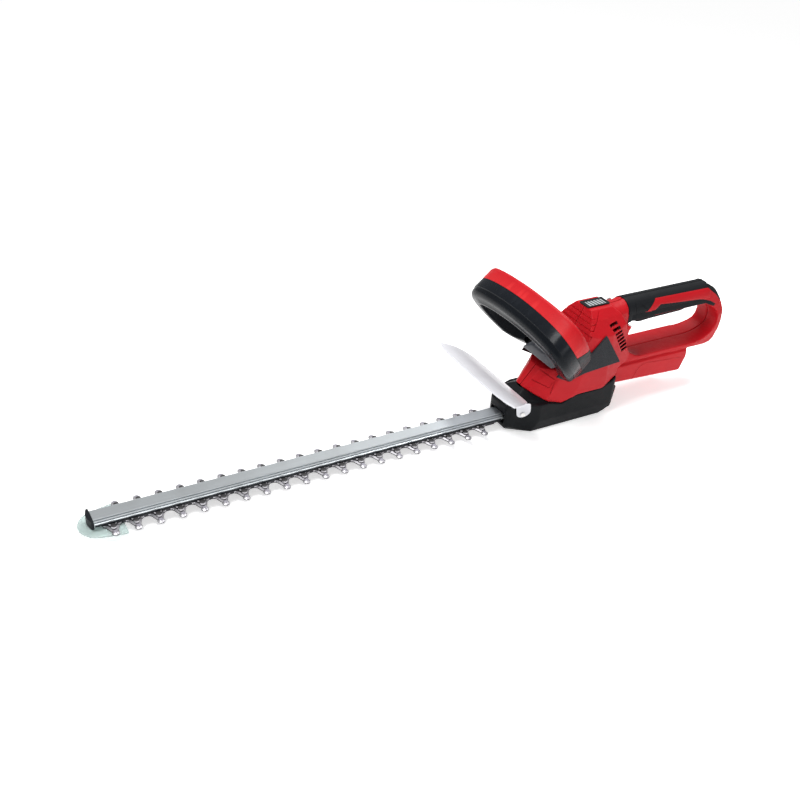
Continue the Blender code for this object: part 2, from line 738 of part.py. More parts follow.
def bar_bolt(name, x):
    """A shouldered bolt that clamps the bar and guides both blades."""
    made = finish(name, rod(BOLT_RADIUS, LOWER_Z - 1.5, BAR_TOP_Z - 1.9, (x, 0), count=12), ZINC, (x, 0, 0))
    fuse(made, rod(5.4, LOWER_Z - 3.0, LOWER_Z - GAP, (x, 0), count=6))
    return made


def bar_end_cap():
    outline = rounded(((BAR_FRONT_X + GAP, -13.5, 0), (BAR_FRONT_X + 3, -13.0, 3), (BAR_FRONT_X + 7, 0, 8),
                       (BAR_FRONT_X + 3, 13.0, 3), (BAR_FRONT_X + GAP, 13.5, 0)))
    made = finish("bar_end_cap", prism(outline, 13.6, 24.4), BLACK)
    cut(made, rod(1.5 + GAP, 12, 22, (BAR_FRONT_X + 3.4, 0), count=12))
    return made


def tip_guard():
    half = [(606, 0), (606, 29.5), (612, 29.6), (627, 26.5), (638, 24), (647, 19.5), (653, 12), (656, 5)]
    outline = [*half, (656.6, 0), *[(x, -y) for x, y in half[1:]][::-1]]
    top = LOWER_Z - 0.4
    made = finish("tip_guard", prism(outline, top - 2.6, top), CLEAR)
    boss = rounded(((BAR_FRONT_X, -8, 2), (BAR_FRONT_X + 6.6, -7, 3), (BAR_FRONT_X + 6.6, 7, 3),
                    (BAR_FRONT_X, 8, 2)), 2)
    fuse(made, prism(boss, top - 1, 13.3))
    cut(made, rod(1.5 + GAP, 5, 15, (BAR_FRONT_X + 3.4, 0), count=12))
    cut(made, rod(3.0 + GAP, 5, top - 1.2, (BAR_FRONT_X + 3.4, 0), count=12))
    return made


def tip_screw():
    x = BAR_FRONT_X + 3.4
    made = finish("tip_screw", rod(1.5, LOWER_Z - 2.5, 21.5, (x, 0), count=12), ZINC, (x, 0, 0))
    fuse(made, rod(3.0, LOWER_Z - 2.9, LOWER_Z - 1.9, (x, 0), count=12))
    return made


# ---------------------------------------------------------------- drive

def gear_outline(teeth, turn, root_cut, tip_add):
    """Straight-flanked teeth with play, cut a little thin so the pair runs freely."""
    pitch_radius = GEAR_MODULE * teeth / 2
    step = 2 * math.pi / teeth
    tip = pitch_radius + tip_add * GEAR_MODULE
    root = pitch_radius - root_cut * GEAR_MODULE
    points = []
    for k in range(teeth):
        middle = turn + k * step
        for radius, share in ((root, -0.31), (tip, -0.115), (tip, 0.115), (root, 0.31)):
            angle = middle + share * step
            points.append((radius * math.cos(angle), radius * math.sin(angle)))
    return points


def drive_gear():
    """The spur gear and its two opposed eccentrics, in one piece."""
    outline = gear_outline(GEAR_TEETH, 0.0, 1.1, 0.75)
    made = finish("drive_gear", prism(outline, *GEAR_Z), ZINC)
    fuse(made, rod(ECCENTRIC_RADIUS, LOWER_Z + BLADE_THICK + GAP / 2, GEAR_Z[0] + 1, (0, -THROW), count=28))
    fuse(made, rod(ECCENTRIC_RADIUS, LOWER_Z - 0.4, LOWER_Z + BLADE_THICK + GAP / 2 + 0.01, (0, THROW), count=28))
    fuse(made, rod(8.0, GEAR_Z[1] - 1, BRACKET_Z[0] - 0.4, count=20))
    for k in range(6):
        angle = math.pi / 3 * (k + 0.5)
        place = (18.5 * math.cos(angle), 18.5 * math.sin(angle))
        if abs(place[1]) < 12:
            cut(made, rod(4.5, 10, 30, place, count=12))
    cut(made, rod(SHAFT_RADIUS + GAP, 0, 50, count=20))
    return made


def pinion():
    turn = math.pi / PINION_TEETH
    outline = [(x + MOTOR_X, y) for x, y in gear_outline(PINION_TEETH, turn, 1.1, 0.75)]
    made = finish("pinion", prism(outline, GEAR_Z[0] + 0.3, GEAR_Z[1] + 0.6), STEEL, (MOTOR_X, 0, 0))
    cut(made, rod(MOTOR_SHAFT_RADIUS + GAP, 10, 40, (MOTOR_X, 0), count=12))
    return made


def gear_shaft():
    return finish("gear_shaft", rod(SHAFT_RADIUS, 4.2, BRACKET_Z[1] - 1, count=20), STEEL)


def bearing(name, low):
    return finish(name, ring(BEARING_RADIUS, SHAFT_RADIUS + GAP, low, low + 5.5), STEEL)


def base_cover():
    """The removable plate under the gears, with the lower bearing's cup."""
    made = finish("base_cover", box((-53.2, -27.2, 0), (43.2, 27.2, 2.8)), BLACK)
    fuse(made, rod(14.0, 2, 9.9, count=20))
    cut(made, rod(BEARING_RADIUS + GAP, 3.6, 12, count=20))
    for x, y in LEG_PLACES:
        cut(made, rod(1.6 + GAP, -1, 4, (x, y), count=12))
        cut(made, rod(3.2 + GAP, -1, 1.7, (x, y), count=12))
    return made


def base_screw(name, place):
    made = finish(name, rod(1.6, 0.8, 14, place, count=12), ZINC, (*place, 0))
    fuse(made, rod(3.2, 0.2, 1.4, place, count=12))
    return made


def gearbox_bracket():
    """The casting that joins motor, upper bearing and case, on four legs."""
    plate = rounded(((40, -20, 6), (40, 20, 6), (24, 30, 8), (-54, 30, 8), (-58, 0, 0), (-54, -30, 8), (24, -30, 8)))
    made = finish("gearbox_bracket", prism(plate, *BRACKET_Z), ALUMINIUM)
    for place in LEG_PLACES:
        fuse(made, rod(LEG_RADIUS, 6.4, BRACKET_Z[0] + 1, place, count=12))
    for place in LEG_PLACES:
        cut(made, rod(1.6 + GAP, 5, 15, place, count=12))
    cut(made, rod(BEARING_RADIUS + GAP, 20, 35.9, count=20))
    cut(made, rod(SHAFT_RADIUS + 1, 20, 45, count=20))
    cut(made, rod(7.5, 20, 45, (MOTOR_X, 0), count=20))
    return made


def motor_can():
    centre = (MOTOR_X, 0)
    low = BRACKET_Z[1] + GAP
    made = finish("motor_can", rod(MOTOR_RADIUS, low, low + 54, centre, count=28), ZINC, (*centre, 0))
    cut(made, rod(MOTOR_RADIUS - 1.5, low + 2, low + 60, centre, count=28))
    cut(made, rod(3.5, low - 5, low + 5, centre, count=12))
    return made


MOTOR_TOP_Z = BRACKET_Z[1] + GAP + 54


def motor_magnet(name, side):
    """An arc magnet inside the can."""
    count = 9
    spread = math.radians(62)
    arc = [side * math.pi / 2 - spread + 2 * spread * k / (count - 1) for k in range(count)]
    outer = [(MOTOR_X + 16.1 * math.cos(a), 16.1 * math.sin(a)) for a in arc]
    inner = [(MOTOR_X + 12.8 * math.cos(a), 12.8 * math.sin(a)) for a in arc]
    return finish(name, prism([*outer, *inner[::-1]], 46, 84), GREY, (MOTOR_X, 0, 0))


def motor_end_bell():
    centre = (MOTOR_X, 0)
    low = MOTOR_TOP_Z + GAP
    made = finish("motor_end_bell", rod(MOTOR_RADIUS, low, low + 4, centre, count=28), BLACK, (*centre, 0))
    fuse(made, rod(6, low + 3, low + 6.5, centre, count=20))
    cut(made, rod(MOTOR_SHAFT_RADIUS + GAP, low - 2, low + 9, centre, count=12))
    return made


def motor_rotor():
    """The wound armature on its shaft, with the commutator above it."""
    centre = (MOTOR_X, 0)
    made = finish("motor_rotor", rod(MOTOR_SHAFT_RADIUS, GEAR_Z[0] + 0.3, 112, centre, count=12), COPPER,
                  (*centre, 0))
    poles = []
    for k in range(5):
        middle = 2 * math.pi * k / 5
        for radius, share in ((8.5, -0.44), (12.0, -0.36), (12.2, 0), (12.0, 0.36), (8.5, 0.44)):
            angle = middle + share * 2 * math.pi / 5
            poles.append((MOTOR_X + radius * math.cos(angle), radius * math.sin(angle)))
    fuse(made, prism(poles, 47, 80))
    fuse(made, rod(5, 79, 89, centre, count=12))
    return made


def cooling_fan():
    """A fan of eight blades between a hub and a rim disc."""
    centre = (MOTOR_X, 0)
    low = MOTOR_TOP_Z + 8.6
    made = finish("cooling_fan", rod(15.5, low, low + 1.4, centre, count=20), BLACK, (*centre, 0))
    fuse(made, rod(5, low + 0.7, low + 8, centre, count=12))
    for k in range(8):
        angle = 2 * math.pi * k / 8
        along = Vector((math.cos(angle), math.sin(angle)))
        across = Vector((-along.y, along.x)) * 0.6
        root = Vector(centre) + along * 4
        rim = Vector(centre) + along * 14.8 + across * 3
        corners = (root - across, rim - across, rim + across, root + across)
        fuse(made, prism([tuple(c) for c in corners], low + 0.8, low + 7))
    cut(made, rod(MOTOR_SHAFT_RADIUS + GAP, low - 2, low + 12, centre, count=12))
    return made


# ---------------------------------------------------------------- electrics and controls

def controller_board():
    made = finish("controller_board", box((-198, -22, 60), (-106, 22, 61.8)), BOARD)
    fuse(made, box((-190, -16, 61), (-168, 16, 69)))
    fuse(made, rod(5, 61, 71, (-130, 9), count=12))
    fuse(made, box((-150, -18, 61), (-142, -4, 66)))
    return made


def terminal_block():
    """The plastic block at the front of the battery slot."""
    made = finish("battery_terminal_block", box((-116, -19, 38), (-102.6, 19, 52.4)), BLACK)
    for y in (-11, 11):
        cut(made, box((-121, y - 1.6, 40), (-106, y + 1.6, 50)))
    return made


def battery_terminal(name, y):
    return finish(name, box((-128, y - 0.5, 41), (-106.6, y + 0.5, 49)), COPPER)


def indicator_frame():
    low = TOWER_TOP_Z + GAP
    outline = rounded(((-70, -10, 2), (-32, -10, 2), (-32, 10, 2), (-70, 10, 2)), 2)
    made = finish("indicator_frame", prism(outline, low, low + 1.5), BLACK)
    cut(made, box((-65.3, -7.8, 150), (-36.7, 7.8, 170)))
    return made


def indicator_window():
    low = TOWER_TOP_Z + GAP
    return finish("indicator_window", box((-65, -7.5, low), (-37, 7.5, low + 1.1)), CLEAR)


def trigger():
    """The rear switch lever under the grip, hinged at its front end."""
    outline = rounded(((-118, 133.5, 3), (-116, 126, 5), (-130, 118.5, 6), (-150, 120, 4), (-212, 121.5, 3),
                       (-220, 125, 3), (-219, 128, 1), (-150, 129, 0), (-131, 136, 3)), 3)
    origin = (TRIGGER_PIVOT[0], 0, TRIGGER_PIVOT[1])
    made = finish("trigger", soft_prism(outline, -8.6, 8.6, "Y", 1.6), BLACK, origin)
    fuse(made, box((-172, -2, 126), (-166, 2, 132)))
    cut(made, rod(1.5 + GAP, -20, 20, TRIGGER_PIVOT, "Y", 12))
    return made


def trigger_pin():
    return finish("trigger_pin", rod(1.5, -14, 14, TRIGGER_PIVOT, "Y", 12), ZINC)


def trigger_spring():
    return finish("trigger_spring", coil(2.6, 0.4, 129.6, 141.5, (-192, 0), 4), ZINC)


def rear_switch():
    made = finish("rear_switch", box((-186, -8, 142), (-152, 8, 151)), BLACK)
    fuse(made, box((-171, -2, 139.6), (-167, 2, 143)))
    return made


def front_lever():
    """The second switch lever, a wedge across the foot of the loop handle."""
    outline = rounded(((35, 94, 1.5), (34, 107, 3), (14, 110, 6), (-3.4, 105.2, 4), (-3.4, 95, 3), (14, 93.5, 0)), 3)
    origin = (LEVER_PIVOT[0], 0, LEVER_PIVOT[1])
    bm = prism(outline, -LEVER_HALF, LEVER_HALF, "Y")
    for side in (1, -1):
        shave(bm, (34, 11 * side, 107), (0.3, 0.464 * side, 0.886))
    made = finish("front_switch_lever", bm, GREY, origin)
    cut(made, rod(1.5 + GAP, -40, 40, LEVER_PIVOT, "Y", 12))
    cut(made, rod(3.4, 85, 98.8, LEVER_SPRING_PLACE, count=12))
    fuse(made, box((15, -2, 79.6), (19, 2, 100)))
    return made


def front_lever_pin():
    return finish("front_lever_pin", rod(1.5, -35.6, 35.6, LEVER_PIVOT, "Y", 12), ZINC)


def front_lever_spring():
    return finish("front_lever_spring", coil(2.4, 0.4, 87.2, 98.5, LEVER_SPRING_PLACE, 4), ZINC)


def front_switch():
    made = finish("front_switch", box((6, -7, 66), (26, 7, 75)), BLACK)
    fuse(made, box((15, -2, 74), (19, 2, 77.6)))
    return made


def casing_screw(name, place, head_y):
    made = finish(name, rod(SCREW_RADIUS, -head_y - 1, 12, place, "Y", 12), ZINC)
    fuse(made, rod(3.2, -head_y - GAP, -head_y - 2.4, place, "Y", 12))
    return made


# ---------------------------------------------------------------- assembly

def build_casing():
    casing_half("left_housing", 1)
    right = casing_half("right_housing", -1)
    left = bpy.data.objects["left_housing"]
    for half in (left, right):
        cut(half, box((13.6, -3, 79), (20.4, 3, 95)))
        cut(half, box((-222, -9.4, 121), (-112, 9.4, 131)))
    side_panel("left_side_panel", 1)
    side_panel("right_side_panel", -1)
    grip("left_grip", 1)
    grip("right_grip", -1)
    gear_case()
    loop_shell("front_handle_cover", 0.0, LOOP_SPLIT - GAP / 2, BLACK)
    loop_shell("front_handle_frame", LOOP_DEPTH, LOOP_SPLIT + GAP / 2, RED)
    hand_guard()
    guard_screw("guard_screw_left", 1)
    guard_screw("guard_screw_right", -1)
    for k, place in enumerate(SCREW_PLACES):
        casing_screw(f"housing_screw_{k + 1}", place, SCREW_HEADS[k])


def build_cutter():
    blade("upper_blade", UPPER_Z, UPPER_REACH, UPPER_TIP)
    blade("lower_blade", LOWER_Z, LOWER_REACH, LOWER_TIP)
    guide_bar()
    for k, x in enumerate(BOLT_XS):
        bar_bolt(f"bar_bolt_{k + 1}", x)
    bar_end_cap()
    tip_guard()
    tip_screw()


def build_drive():
    drive_gear()
    gear_shaft()
    bearing("upper_bearing", BRACKET_Z[0] + 0.3)
    bearing("lower_bearing", 3.9)
    base_cover()
    for k, place in enumerate(LEG_PLACES):
        base_screw(f"base_screw_{k + 1}", place)
    gearbox_bracket()
    motor_can()
    motor_magnet("motor_magnet_left", 1)
    motor_magnet("motor_magnet_right", -1)
    motor_end_bell()
    motor_rotor()
    pinion()
    cooling_fan()


def build_controls():
    controller_board()
    terminal_block()
    battery_terminal("battery_terminal_left", 11)
    battery_terminal("battery_terminal_right", -11)
    indicator_frame()
    indicator_window()
    trigger()
    trigger_pin()
    trigger_spring()
    rear_switch()
    front_lever()
    front_lever_pin()
    front_lever_spring()
    front_switch()


clear_scene()
build_casing()
build_cutter()
build_drive()
build_controls()
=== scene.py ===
"""Cordless hedge trimmer: the visual model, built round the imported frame.

Shapes are in millimetres until a mesh is made; the camera, the lights, the floor and the
textures are in metres. +X runs along the cutter bar to its tip, +Y is the tool's left and
+Z is up, as in the frame.
"""
import math

import bmesh
import bpy
from mathutils import Euler, Matrix, Vector


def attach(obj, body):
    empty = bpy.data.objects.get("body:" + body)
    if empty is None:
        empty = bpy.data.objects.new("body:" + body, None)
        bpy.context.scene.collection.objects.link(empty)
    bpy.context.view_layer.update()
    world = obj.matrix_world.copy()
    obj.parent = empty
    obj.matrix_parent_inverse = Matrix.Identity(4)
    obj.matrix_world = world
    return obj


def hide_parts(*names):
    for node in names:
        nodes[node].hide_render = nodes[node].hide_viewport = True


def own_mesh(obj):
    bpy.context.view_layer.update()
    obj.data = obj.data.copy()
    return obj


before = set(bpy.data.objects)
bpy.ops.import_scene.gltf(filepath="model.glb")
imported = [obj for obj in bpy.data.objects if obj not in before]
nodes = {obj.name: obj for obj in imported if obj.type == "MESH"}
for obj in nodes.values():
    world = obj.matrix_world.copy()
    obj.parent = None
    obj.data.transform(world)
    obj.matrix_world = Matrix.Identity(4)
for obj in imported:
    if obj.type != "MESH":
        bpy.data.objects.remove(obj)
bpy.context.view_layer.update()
MM = 0.001
SIDES = ((1, "left"), (-1, "right"))    # sign of Y, and the name of that side


# ---------------------------------------------------------------- camera, light and floor

CAMERA_PLACE = (0.8043, 0.9233, 0.7531)
CAMERA_TURN = (57.9389, -3.5190, 151.0213)    # degrees about X, Y and Z
CAMERA_LENS = 45.149
SENSOR_WIDTH = 36.0
NEAREST = 0.01

WORLD_STRENGTH = 0.5
LIGHTS = (
    # name, place, the point it is aimed at, size and watts
    ("key_light", (0.9, 0.1, 1.5), (0.1, 0.0, 0.08), (0.5, 0.5), 15.5),
    ("top_light", (-0.5, -0.4, 1.4), (0.1, 0.0, 0.05), (0.9, 0.3), 15.0),
    ("side_light", (0.2, 1.5, 0.6), (0.1, 0.0, 0.08), (0.9, 0.25), 3.5),
)

FLOOR_SIZE = 6.0
FLOOR_Z = -0.0005
FLOOR_COLOUR = (0.93, 0.93, 0.93, 1.0)
FLOOR_ROUGHNESS = 0.9
FLOOR_GLOW = 0.5
WHITE = (1.0, 1.0, 1.0, 1.0)


def placed(name, mesh):
    """A new object with this mesh, at the origin."""
    made = bpy.data.objects.new(name, mesh)
    bpy.context.scene.collection.objects.link(made)
    return made


def place_camera():
    data = bpy.data.cameras.new("camera")
    data.lens = CAMERA_LENS
    data.sensor_width = SENSOR_WIDTH
    data.clip_start = NEAREST
    made = placed("camera", data)
    made.location = CAMERA_PLACE
    made.rotation_euler = Euler([math.radians(angle) for angle in CAMERA_TURN])
    bpy.context.scene.camera = made


def area_light(name, place, target, size, power):
    data = bpy.data.lights.new(name, "AREA")
    data.shape = "RECTANGLE"
    data.size, data.size_y = size
    data.energy = power
    made = placed(name, data)
    made.location = place
    aim = Vector(target) - Vector(place)
    made.rotation_euler = aim.to_track_quat("-Z", "Y").to_euler()


def light_the_scene():
    world = bpy.data.worlds.new("studio")
    world.use_nodes = True
    background = world.node_tree.nodes["Background"]
    background.inputs["Color"].default_value = WHITE
    background.inputs["Strength"].default_value = WORLD_STRENGTH
    bpy.context.scene.world = world
    for light in LIGHTS:
        area_light(*light)


def use_plain_colours():
    bpy.context.scene.view_settings.view_transform = "Standard"


def lay_floor():
    bm = bmesh.new()
    bmesh.ops.create_grid(bm, x_segments=1, y_segments=1, size=FLOOR_SIZE)
    mesh = bpy.data.meshes.new("floor")
    bm.to_mesh(mesh)
    bm.free()
    made = placed("floor", mesh)
    made.location = (0.0, 0.0, FLOOR_Z)
    pale = bpy.data.materials.new("pale_floor")
    pale.use_nodes = True
    shader = pale.node_tree.nodes["Principled BSDF"]
    shader.inputs["Base Color"].default_value = FLOOR_COLOUR
    shader.inputs["Roughness"].default_value = FLOOR_ROUGHNESS
    shader.inputs["Emission Color"].default_value = WHITE
    shader.inputs["Emission Strength"].default_value = FLOOR_GLOW
    mesh.materials.append(pale)


# ---------------------------------------------------------------- materials

class Tree:
    """A material's node tree under construction, and its Principled shader."""

    def __init__(self, name):
        self.material = bpy.data.materials.new(name)
        self.material.use_nodes = True
        self.nodes = self.material.node_tree.nodes
        self.links = self.material.node_tree.links
        self.shader = self.nodes["Principled BSDF"]
        self.place = self.add("ShaderNodeTexCoord").outputs["Object"]

    def add(self, kind, **values):
        """A new node with some of its properties set."""
        node = self.nodes.new(kind)
        for key, value in values.items():
            setattr(node, key, value)
        return node

    def link(self, source, target):
        self.links.new(source, target)
        return source

    def stretch(self, scale):
        """The object's coordinates, scaled along each axis."""
        mapping = self.add("ShaderNodeMapping")
        mapping.inputs["Scale"].default_value = scale
        self.link(self.place, mapping.inputs["Vector"])
        return mapping.outputs["Vector"]

    def noise(self, scale, detail=4.0, stretch=None):
        node = self.add("ShaderNodeTexNoise")
        node.inputs["Scale"].default_value = scale
        node.inputs["Detail"].default_value = detail
        self.link(self.stretch(stretch) if stretch else self.place, node.inputs["Vector"])
        return node.outputs["Fac"]

    def cells(self, scale, feature="F1"):
        node = self.add("ShaderNodeTexVoronoi", feature=feature)
        node.inputs["Scale"].default_value = scale
        self.link(self.place, node.inputs["Vector"])
        return node.outputs["Distance"]

    def spread(self, value, low, high, out_low=0.0, out_high=1.0):
        """Maps the range from low to high onto the range from out_low to out_high."""
        node = self.add("ShaderNodeMapRange")
        node.inputs["From Min"].default_value = low
        node.inputs["From Max"].default_value = high
        node.inputs["To Min"].default_value = out_low
        node.inputs["To Max"].default_value = out_high
        self.link(value, node.inputs["Value"])
        return node.outputs["Result"]

    def blend(self, factor, first, second):
        """Mixes two colours, each a tuple or a socket."""
        node = self.add("ShaderNodeMix", data_type="RGBA")
        for socket, value in (("A", first), ("B", second)):
            inlet = [i for i in node.inputs if i.name == socket and i.type == "RGBA"][0]
            if isinstance(value, tuple):
                inlet.default_value = (*value, 1.0)
            else:
                self.link(value, inlet)
        self.link(factor, node.inputs["Factor"])
        return [o for o in node.outputs if o.type == "RGBA"][0]

    def combine(self, first, second, operation="ADD"):
        """Joins a socket with a socket or a number by a sum or another operation."""
        node = self.add("ShaderNodeMath", operation=operation)
        self.link(first, node.inputs[0])
        if isinstance(second, float):
            node.inputs[1].default_value = second
        else:
            self.link(second, node.inputs[1])
        return node.outputs["Value"]

    def bump(self, height, distance):
        node = self.add("ShaderNodeBump")
        node.inputs["Distance"].default_value = distance
        node.inputs["Strength"].default_value = 1.0
        self.link(height, node.inputs["Height"])
        self.link(node.outputs["Normal"], self.shader.inputs["Normal"])

    def edges(self):
        """High on convex edges: partly where handling polishes the surface, and partly a painted highlight
        where the edges catch the light.
        """
        pointiness = self.add("ShaderNodeNewGeometry").outputs["Pointiness"]
        return self.spread(pointiness, 0.53, 0.62)


def moulded(name, colour, worn, rough, grain=900.0, depth=0.00006, wear=0.5, shine=0.4):
    """Moulded plastic: fine grain, soft mottling, light scuffs and paler convex edges, which are partly
    handling wear and partly a painted highlight.
    """
    tree = Tree(name)
    tree.shader.inputs["Specular IOR Level"].default_value = shine
    mottle = tree.spread(tree.noise(14.0, 5.0), 0.35, 0.7)
    dark = tuple(c * 0.86 for c in colour)
    base = tree.blend(mottle, dark, colour)
    scuffs = tree.spread(tree.noise(60.0, 8.0, (1.0, 1.0, 6.0)), 0.62, 0.8, 0.0, 0.25)
    # Scuffs, and paler convex edges that are partly wear and partly painted highlight.
    rubbed = tree.combine(tree.combine(tree.edges(), wear, "MULTIPLY"), scuffs, "MAXIMUM")
    tree.link(tree.blend(rubbed, base, worn), tree.shader.inputs["Base Color"])
    tree.link(tree.spread(tree.noise(120.0, 6.0), 0.3, 0.75, rough - 0.06, rough + 0.08),
              tree.shader.inputs["Roughness"])
    tree.bump(tree.combine(tree.noise(grain, 3.0), tree.cells(grain * 1.4), "ADD"), depth)
    return tree.material


def stippled(name, colour, worn, rough, scale, depth):
    """Plastic or rubber with a raised stipple."""
    tree = Tree(name)
    tree.shader.inputs["Specular IOR Level"].default_value = 0.15
    dots = tree.cells(scale)
    base = tree.blend(tree.spread(dots, 0.15, 0.55), worn, colour)
    tree.link(base, tree.shader.inputs["Base Color"])
    tree.link(tree.spread(tree.noise(90.0, 6.0), 0.3, 0.75, rough - 0.05, rough + 0.08),
              tree.shader.inputs["Roughness"])
    tree.bump(tree.spread(dots, 0.0, 0.6, 1.0, 0.0), depth)
    return tree.material


def brushed(name, colour, dark, rough, stretch, depth=0.00002):
    """Metal with fine lines from rolling, drawing or grinding."""
    tree = Tree(name)
    lines = tree.noise(60.0, 8.0, stretch)
    stains = tree.spread(tree.noise(25.0, 6.0), 0.45, 0.75, 0.0, 0.5)
    base = tree.blend(tree.spread(lines, 0.3, 0.7), colour, tuple(c * 0.9 for c in colour))
    tree.link(tree.blend(stains, base, dark), tree.shader.inputs["Base Color"])
    tree.shader.inputs["Metallic"].default_value = 1.0
    tree.link(tree.spread(lines, 0.3, 0.7, rough - 0.06, rough + 0.1), tree.shader.inputs["Roughness"])
    tree.bump(lines, depth)
    return tree.material


def blade_steel(name, flat, tip, from_y, to_y):
    """Blackened steel that is rubbed bright from from_y to to_y, in mm off the bar's middle."""
    tree = Tree(name)
    split = tree.add("ShaderNodeSeparateXYZ")
    tree.link(tree.place, split.inputs["Vector"])
    across = tree.combine(split.outputs["Y"], 0.0, "ABSOLUTE")
    wobble = tree.combine(tree.noise(400.0, 3.0), 0.003, "MULTIPLY")
    bright = tree.spread(tree.combine(across, wobble), from_y * MM, to_y * MM)
    lines = tree.noise(90.0, 8.0, (14.0, 1.0, 1.0))
    base = tree.blend(tree.spread(lines, 0.3, 0.7), flat, tuple(c * 0.7 for c in flat))
    tree.link(tree.blend(bright, base, tip), tree.shader.inputs["Base Color"])
    tree.shader.inputs["Metallic"].default_value = 0.6
    tree.link(tree.spread(lines, 0.25, 0.75, 0.48, 0.62), tree.shader.inputs["Roughness"])
    tree.bump(lines, 0.00002)
    return tree.material


def clear_sheet(name, colour, rough, through):
    """Milky moulded polycarbonate, with faint flow lines and fine scratches."""
    tree = Tree(name)
    flow = tree.spread(tree.noise(7.0, 4.0, (1.0, 9.0, 1.0)), 0.3, 0.7)
    base = tree.blend(flow, tuple(c * 0.9 for c in colour), colour)
    tree.link(base, tree.shader.inputs["Base Color"])
    tree.shader.inputs["Transmission Weight"].default_value = through
    tree.shader.inputs["IOR"].default_value = 1.5
    tree.link(tree.spread(tree.noise(12.0, 3.0), 0.35, 0.7, rough - 0.05, rough + 0.08),
              tree.shader.inputs["Roughness"])
    tree.bump(tree.noise(14.0, 2.0, (0.3, 4.0, 0.3)), 0.0001)
    return tree.material


def wound(name):
    """Copper windings between steel laminations."""
    tree = Tree(name)
    wave = tree.add("ShaderNodeTexWave", bands_direction="Z")
    wave.inputs["Scale"].default_value = 420.0
    tree.link(tree.place, wave.inputs["Vector"])
    turns = wave.outputs["Fac"]
    base = tree.blend(turns, (0.30, 0.11, 0.04), (0.83, 0.42, 0.20))
    tree.link(base, tree.shader.inputs["Base Color"])
    tree.shader.inputs["Metallic"].default_value = 1.0
    tree.link(tree.spread(tree.noise(200.0), 0.3, 0.7, 0.28, 0.5), tree.shader.inputs["Roughness"])
    tree.bump(turns, 0.0002)
    return tree.material


def board(name):
    """Green solder mask with faint tracks."""
    tree = Tree(name)
    tracks = tree.spread(tree.cells(160.0, "DISTANCE_TO_EDGE"), 0.02, 0.05)
    base = tree.blend(tracks, (0.10, 0.36, 0.12), (0.015, 0.13, 0.045))
    tree.link(base, tree.shader.inputs["Base Color"])
    tree.link(tree.spread(tree.noise(90.0), 0.3, 0.7, 0.35, 0.5), tree.shader.inputs["Roughness"])
    tree.bump(tracks, 0.00005)
    return tree.material


RED = moulded("red_housing_plastic", (0.48, 0.005, 0.011), (0.68, 0.035, 0.035), 0.45, shine=0.16)
BLACK = moulded("black_casing_plastic", (0.0045, 0.0055, 0.007), (0.018, 0.02, 0.024), 0.5, shine=0.12)
GLOSSY = moulded("black_handle_plastic", (0.005, 0.0065, 0.009), (0.022, 0.025, 0.032), 0.25,
                 grain=1100.0, depth=0.00001, wear=0.3, shine=0.1)
GREY = moulded("grey_lever_plastic", (0.035, 0.041, 0.051), (0.2, 0.21, 0.23), 0.38)
# A paler grey for the lever's chamfers: painted highlight where its edges catch the light.
GREY_EDGE_HIGHLIGHT = moulded("grey_edge_painted_highlight", (0.16, 0.175, 0.195), (0.3, 0.31, 0.33), 0.34)
RUBBER = stippled("grip_rubber", (0.0045, 0.0055, 0.007), (0.009, 0.0105, 0.013), 0.6, 1500.0, 0.00004)
STIPPLE = stippled("stippled_panel_plastic", (0.014, 0.0155, 0.0185), (0.032, 0.034, 0.039), 0.6,
                   900.0, 0.0001)
ALUMINIUM = brushed("extruded_aluminium", (0.60, 0.635, 0.655), (0.47, 0.49, 0.50), 0.38,
                    (0.05, 30.0, 30.0), 0.00001)
CAST = brushed("cast_aluminium", (0.62, 0.63, 0.64), (0.40, 0.40, 0.41), 0.5, (3.0, 3.0, 3.0), 0.0001)
ZINC = brushed("zinc_plated_steel", (0.72, 0.72, 0.70), (0.42, 0.41, 0.38), 0.3, (6.0, 6.0, 1.0))
GROUND = brushed("ground_steel", (0.58, 0.57, 0.60), (0.42, 0.41, 0.42), 0.42, (5.0, 5.0, 1.0))
DARK_STEEL = brushed("blackened_steel", (0.05, 0.05, 0.055), (0.02, 0.02, 0.02), 0.45, (1.0, 1.0, 6.0))
UPPER_STEEL = blade_steel("upper_blade_steel", (0.045, 0.044, 0.046), (0.09, 0.088, 0.09), 19.0, 23.0)
LOWER_STEEL = blade_steel("lower_blade_steel", (0.07, 0.068, 0.072), (0.34, 0.33, 0.37), 20.5, 22.5)
WINDOW = clear_sheet("indicator_lens", (0.44, 0.49, 0.50), 0.2, 0.1)
GUARD = clear_sheet("milky_guard_plastic", (0.75, 0.75, 0.79), 0.34, 0.08)
TIP = clear_sheet("clear_tip_plastic", (0.66, 0.78, 0.76), 0.25, 0.5)
COPPER = wound("copper_windings")
BOARD = board("circuit_board_mask")

# The procedural material for each material of the frame
PLAIN = {
    "aluminium": CAST, "zinc_steel": ZINC, "blade_steel": GROUND, "copper": COPPER,
    "circuit_board": BOARD, "black_plastic": BLACK, "grey_plastic": GREY, "red_plastic": RED,
    "soft_grip": RUBBER, "clear_plastic": GUARD,
}


def dress_nodes():
    """Gives every CAD node the procedural version of its own material."""
    for node in nodes.values():
        for slot in node.material_slots:
            key = slot.material.name.split(".")[0]
            slot.material = PLAIN[key]


# ---------------------------------------------------------------- solids in millimetres

GROOVE_CLEARANCE = 3.0      # how far a groove's cutter stands out of the surface
GROOVE_FLOOR = 0.6          # the width of a groove's floor, as a share of its mouth


def lofted(rings):
    """A closed solid through rings of points that all have the same count."""
    bm = bmesh.new()
    loops = [[bm.verts.new(point) for point in ring] for ring in rings]
    for one, two in zip(loops, loops[1:]):
        for k in range(len(one)):
            n = (k + 1) % len(one)
            bm.faces.new((one[k], one[n], two[n], two[k]))
    bm.faces.new(loops[0][::-1])
    bm.faces.new(loops[-1])
    return bm


